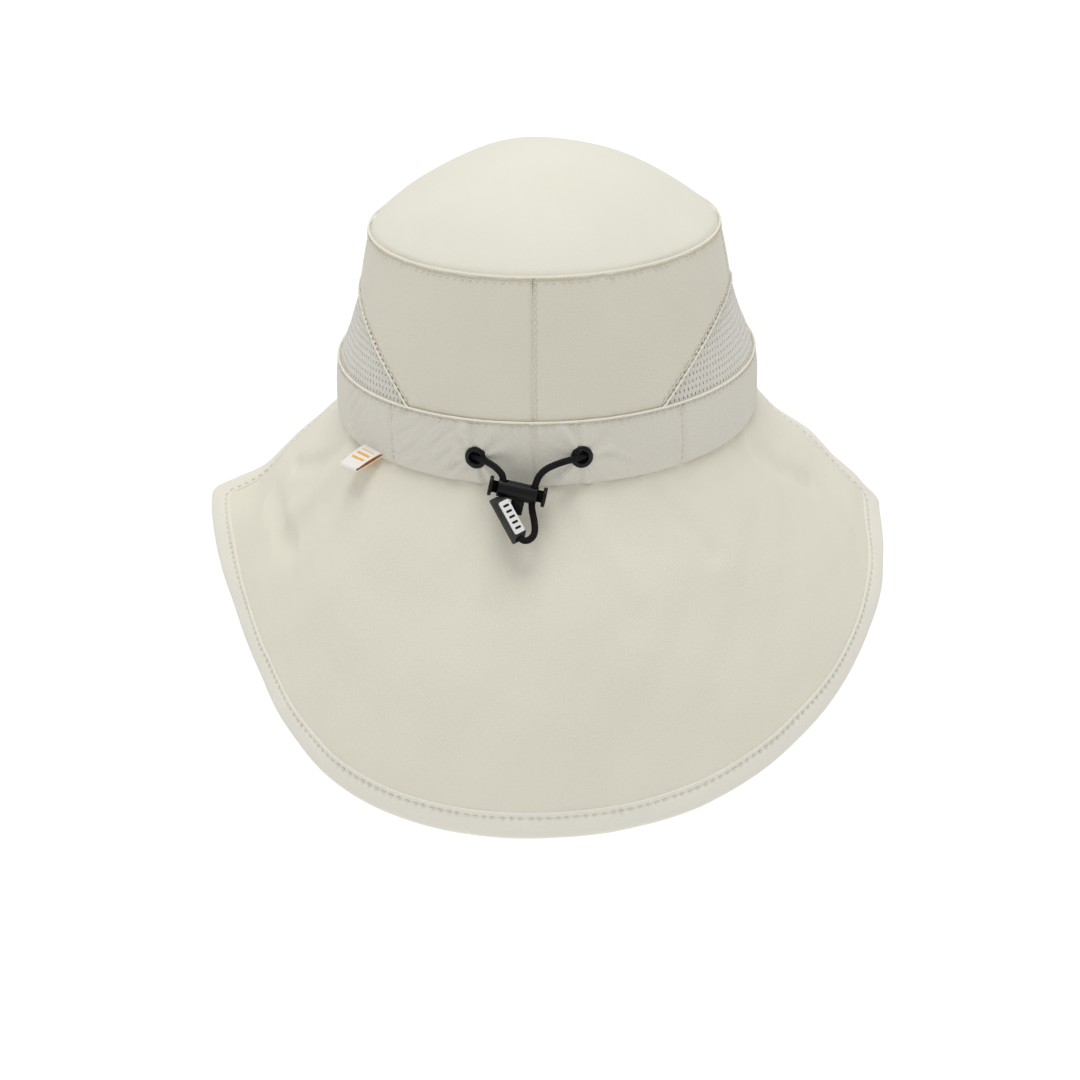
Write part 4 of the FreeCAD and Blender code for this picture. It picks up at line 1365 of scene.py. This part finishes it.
def rounded_bar(centre, axes, sizes):
    """Points of a superellipsoid: signed powers of the sines and cosines of two angles."""
    polar, turn = np.meshgrid(np.linspace(0.02, math.pi - 0.02, 11), np.linspace(0, 2 * math.pi, 20, False),
                              indexing="ij")
    level = signed_power(np.sin(polar))
    local = np.stack([level * signed_power(np.cos(turn)), level * signed_power(np.sin(turn)),
                      signed_power(np.cos(polar))], axis=-1)
    return centre + (local * np.array(sizes) / 2) @ np.stack(axes)


plate_middle = np.array(sum((Vector(c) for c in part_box("pull_plate")), Vector())) / 2
bars = []
for number in range(5):
    centre = plate_middle + PULL_AXIS * (number - 2) * BAR_PITCH + PULL_FACE * BAR_LIFT
    grid = rounded_bar(centre, (PULL_ACROSS, PULL_AXIS, PULL_FACE), BAR_SIZE)
    bars.append(tube_piece("plate_bar_%d" % (number + 1), grid, [black_ink]))

# %% [markdown]
# ## The side tag
# A woven ribbon folded in two and sewn into the seam below the band. Its section is a line: out along the
# top, round a small fold and back beneath. Its outside is white with plain orange stripes, its inside orange.

# %% Side tag
def tag_woven(name, white, stripe):
    """White ribbon with stripes across it, from the position along the ribbon."""
    paint = Paint(name)
    u, v = paint.uv()
    turns = math.pi / (0.36 * MM)
    weave = (u * turns).sin() * (v * turns).sin()
    near = (v * (2 * math.pi / (2.4 * MM))).sin() > 0.2
    inside = (((v - 11.8 * MM).size() - 7.0 * MM).size() > 3.3 * MM) * -1.0 + 1.0
    edge = ((u - 5.75 * MM).size() > 4.3 * MM) * -1.0 + 1.0
    tone = paint.mix(near * inside * edge, white, stripe)
    return paint.finish(tone, weave * (0.03 * MM), 0.7, Sheen_Weight=0.15)


tag_face = tag_woven("tag weave", srgb(244, 242, 238), srgb(243, 178, 78))
tag_back = woven("tag inside", srgb(250, 186, 84), srgb(244, 172, 66), 0.36, 0.03, 0.01)
TAG_T = math.radians(49)
TAG_LEAN = math.radians(22)
TAG_WIDTH = 11.5 * MM
TAG_START = -0.8                          # the straight part runs between these, millimetres from the seam
TAG_END = 9.6
TAG_FOLD_R = 0.95                         # millimetres


def tag_points():
    """The folded section carried across the ribbon's width."""
    root = oval_ring(TAG_T, BAND_R, 0.9 * MM)
    out = oval_out(TAG_T)
    along = np.cross([0, 0, 1.0], out)
    down = out * math.cos(TAG_LEAN) - np.array([0, 0, math.sin(TAG_LEAN)])
    face = out * math.sin(TAG_LEAN) + np.array([0, 0, math.cos(TAG_LEAN)])
    angle = np.linspace(math.pi / 2, -math.pi / 2, 13)
    swell = np.sin(np.linspace(0, math.pi, 24))
    x = np.concatenate([np.linspace(TAG_START, TAG_END, 24), TAG_END + 0.5 + TAG_FOLD_R * np.cos(angle),
                        np.linspace(TAG_END, TAG_START, 24)])
    y = np.concatenate([1.75 + 0.3 * swell, 1.15 + TAG_FOLD_R * np.sin(angle) * 0.78, 0.45 - 0.15 * swell])
    section = root + down * (x[:, None] * MM) + face * (y[:, None] * MM)
    across = np.linspace(-0.5, 0.5, 26) * TAG_WIDTH
    sway = 0.5 * MM * np.sin(across / TAG_WIDTH * math.pi) * np.clip(x, 0, None)[:, None] / 10
    return section[None] + along * across[:, None, None] + face * sway.T[..., None]


tag_grid = tag_points()
tag_middle = tag_grid.mean((0, 1))
tag = cloth("side_tag_ribbon", tag_grid, 0.3 * MM, [tag_face, tag_back], tag_grid - tag_middle)

# %% [markdown]
# ## Floor, light and sky
# A white floor far below keeps the whole hat against white and sends light up into the cape. The sky gives
# soft light from everywhere, and one large lamp almost overhead gives the dome its bright top. A sun could
# light it too, but a lamp with an area gives the soft edges that a light tent gives.

# %% Studio
FLOOR_Z = -1.3
FLOOR_HALF = 20
SKY_STRENGTH = 0.58
LAMP_PLACE = Vector((0.04, -0.04, 1.25))
LAMP_AIM = Vector((0, 0.02, 0))


def stage_floor():
    """A large plain square well below the hat, pale and a little bright of itself."""
    mesh = bpy.data.meshes.new("floor")
    signs = ((-1, -1), (1, -1), (1, 1), (-1, 1))
    mesh.from_pydata([(x * FLOOR_HALF, y * FLOOR_HALF, FLOOR_Z) for x, y in signs], [], [(0, 1, 2, 3)])
    material = bpy.data.materials.new("floor")
    material.use_nodes = True
    shader = material.node_tree.nodes["Principled BSDF"]
    shader.inputs["Base Color"].default_value = (0.8, 0.8, 0.8, 1)
    shader.inputs["Roughness"].default_value = 0.9
    shader.inputs["Emission Color"].default_value = (1, 1, 1, 1)
    shader.inputs["Emission Strength"].default_value = 0.6
    mesh.materials.append(material)
    plane = bpy.data.objects.new("floor", mesh)
    bpy.context.scene.collection.objects.link(plane)


stage_floor()
world = bpy.data.worlds.new("sky")
bpy.context.scene.world = world
world.use_nodes = True
sky = world.node_tree.nodes["Background"]
sky.inputs["Color"].default_value = (1.0, 1.0, 1.0, 1)
sky.inputs["Strength"].default_value = SKY_STRENGTH
lamp_data = bpy.data.lights.new("lamp", "AREA")
lamp_data.shape = "DISK"
lamp_data.size = 0.8
lamp_data.energy = 7.5
lamp_data.color = (1.0, 1.0, 0.98)
lamp = bpy.data.objects.new("lamp", lamp_data)
bpy.context.scene.collection.objects.link(lamp)
lamp_turn = (LAMP_AIM - LAMP_PLACE).to_track_quat("-Z", "Y").to_matrix().to_4x4()
lamp.matrix_world = Matrix.Translation(LAMP_PLACE) @ lamp_turn

# %% [markdown]
# ## Bodies
# Every piece rides on the imported body it belongs to, and the imported nodes it replaces are hidden. Each row
# also names a slot, which nothing here reads. The cape, the brim and what is sewn on them ride on no body:
# their transforms are baked into their meshes.

# %% Bodies
def settle(piece, slot, nodes=(), body="root"):
    """Ride on a body and hide the nodes that the piece stands for; with no body, the piece stays unparented.
    The slot is not used.
    """
    if nodes:
        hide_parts(*nodes)
    if body:
        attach(piece, body)


SEWN_AND_MOULDED = (
    (crown_top, "crown_cloth", ["crown_top"]),
    (back_left, "crown_cloth", ["crown_back_left"]),
    (back_right, "crown_cloth", ["crown_back_right"]),
    (crown_front, "crown_cloth", ["crown_front"]),
    (vent_left, "mesh", ["mesh_vent_left"]),
    (vent_right, "mesh", ["mesh_vent_right"]),
    (shade_sheet_left, "mesh"),
    (shade_sheet_right, "mesh"),
    (band_left, "band_cloth", ["band_back_left"]),
    (band_right, "band_cloth", ["band_back_right"]),
    (band_front, "band_cloth", ["band_front"]),
    (sweatband, "sweatband_cloth", ["sweatband"]),
    (lower_tape, "seam_tape", ["lower_casing_tape"]),
    (upper_tape, "seam_tape", ["upper_casing_tape"]),
    (tip_tape, "seam_tape", ["tip_seam_tape"]),
    *((piece, "crown_cloth") for piece in seam_pieces),
    (eyelets[0], "eyelet_plastic", ["eyelet_left"]),
    (eyelets[1], "eyelet_plastic", ["eyelet_right"]),
    (drawcord, "elastic_cord", ["drawcord"]),
    (tack_left, "anchor_stitch", ["cord_anchor_left"]),
    (tack_right, "anchor_stitch", ["cord_anchor_right"]),
    (lock_body, "lock_plastic", ["lock_barrel"], "cord_lock"),
    (button_left, "lock_plastic", ["lock_button_left"], "button_left"),
    (button_right, "lock_plastic", ["lock_button_right"], "button_right"),
    (pull, "pull_rubber", ["pull_body"]),
    (plate, "pull_plate", ["pull_plate"]),
    *((piece, "pull_plate") for piece in bars),
    (tag, "tag_weave", ["side_tag"]),
    (cape, "cape_cloth", ["cape_upper", "cape_flap"], None),
    (hem, "cape_cloth", ["cape_hem_left", "cape_hem_right", "cape_hem_back"], None),
    (hem_stitches, "cape_cloth", (), None),
    (brim, "brim_cloth", ["brim_base", "brim_front"], None),
    (binding, "brim_cloth", ["brim_edge_left", "brim_edge_right", "brim_edge_front"], None),
    *((piece, "brim_cloth", (), None) for piece in brim_rows),
)
for row in SEWN_AND_MOULDED:
    settle(*row)
for piece in (cape, hem, hem_stitches):
    cape_bends(piece)
for piece in [brim, binding] + brim_rows:
    brim_bends(piece)
print(len(SEWN_AND_MOULDED), "pieces settled")

# %% [markdown]
# The cape and the brim are each cut as a flat fan. The area of their cloth is measured on the grid of the
# upper face.

# %% Cloth areas
def one_face_area(points):
    """The area of a grid of points, from the cross products of its cells' diagonals."""
    first = points[1:, 1:] - points[:-1, :-1]
    second = points[1:, :-1] - points[:-1, 1:]
    return float(np.linalg.norm(np.cross(first, second), axis=-1).sum() / 2)


cape_area = one_face_area(cape_points)
brim_area = one_face_area(brim_points)
print("cape cloth %.4f m2, brim cloth %.4f m2" % (cape_area, brim_area))
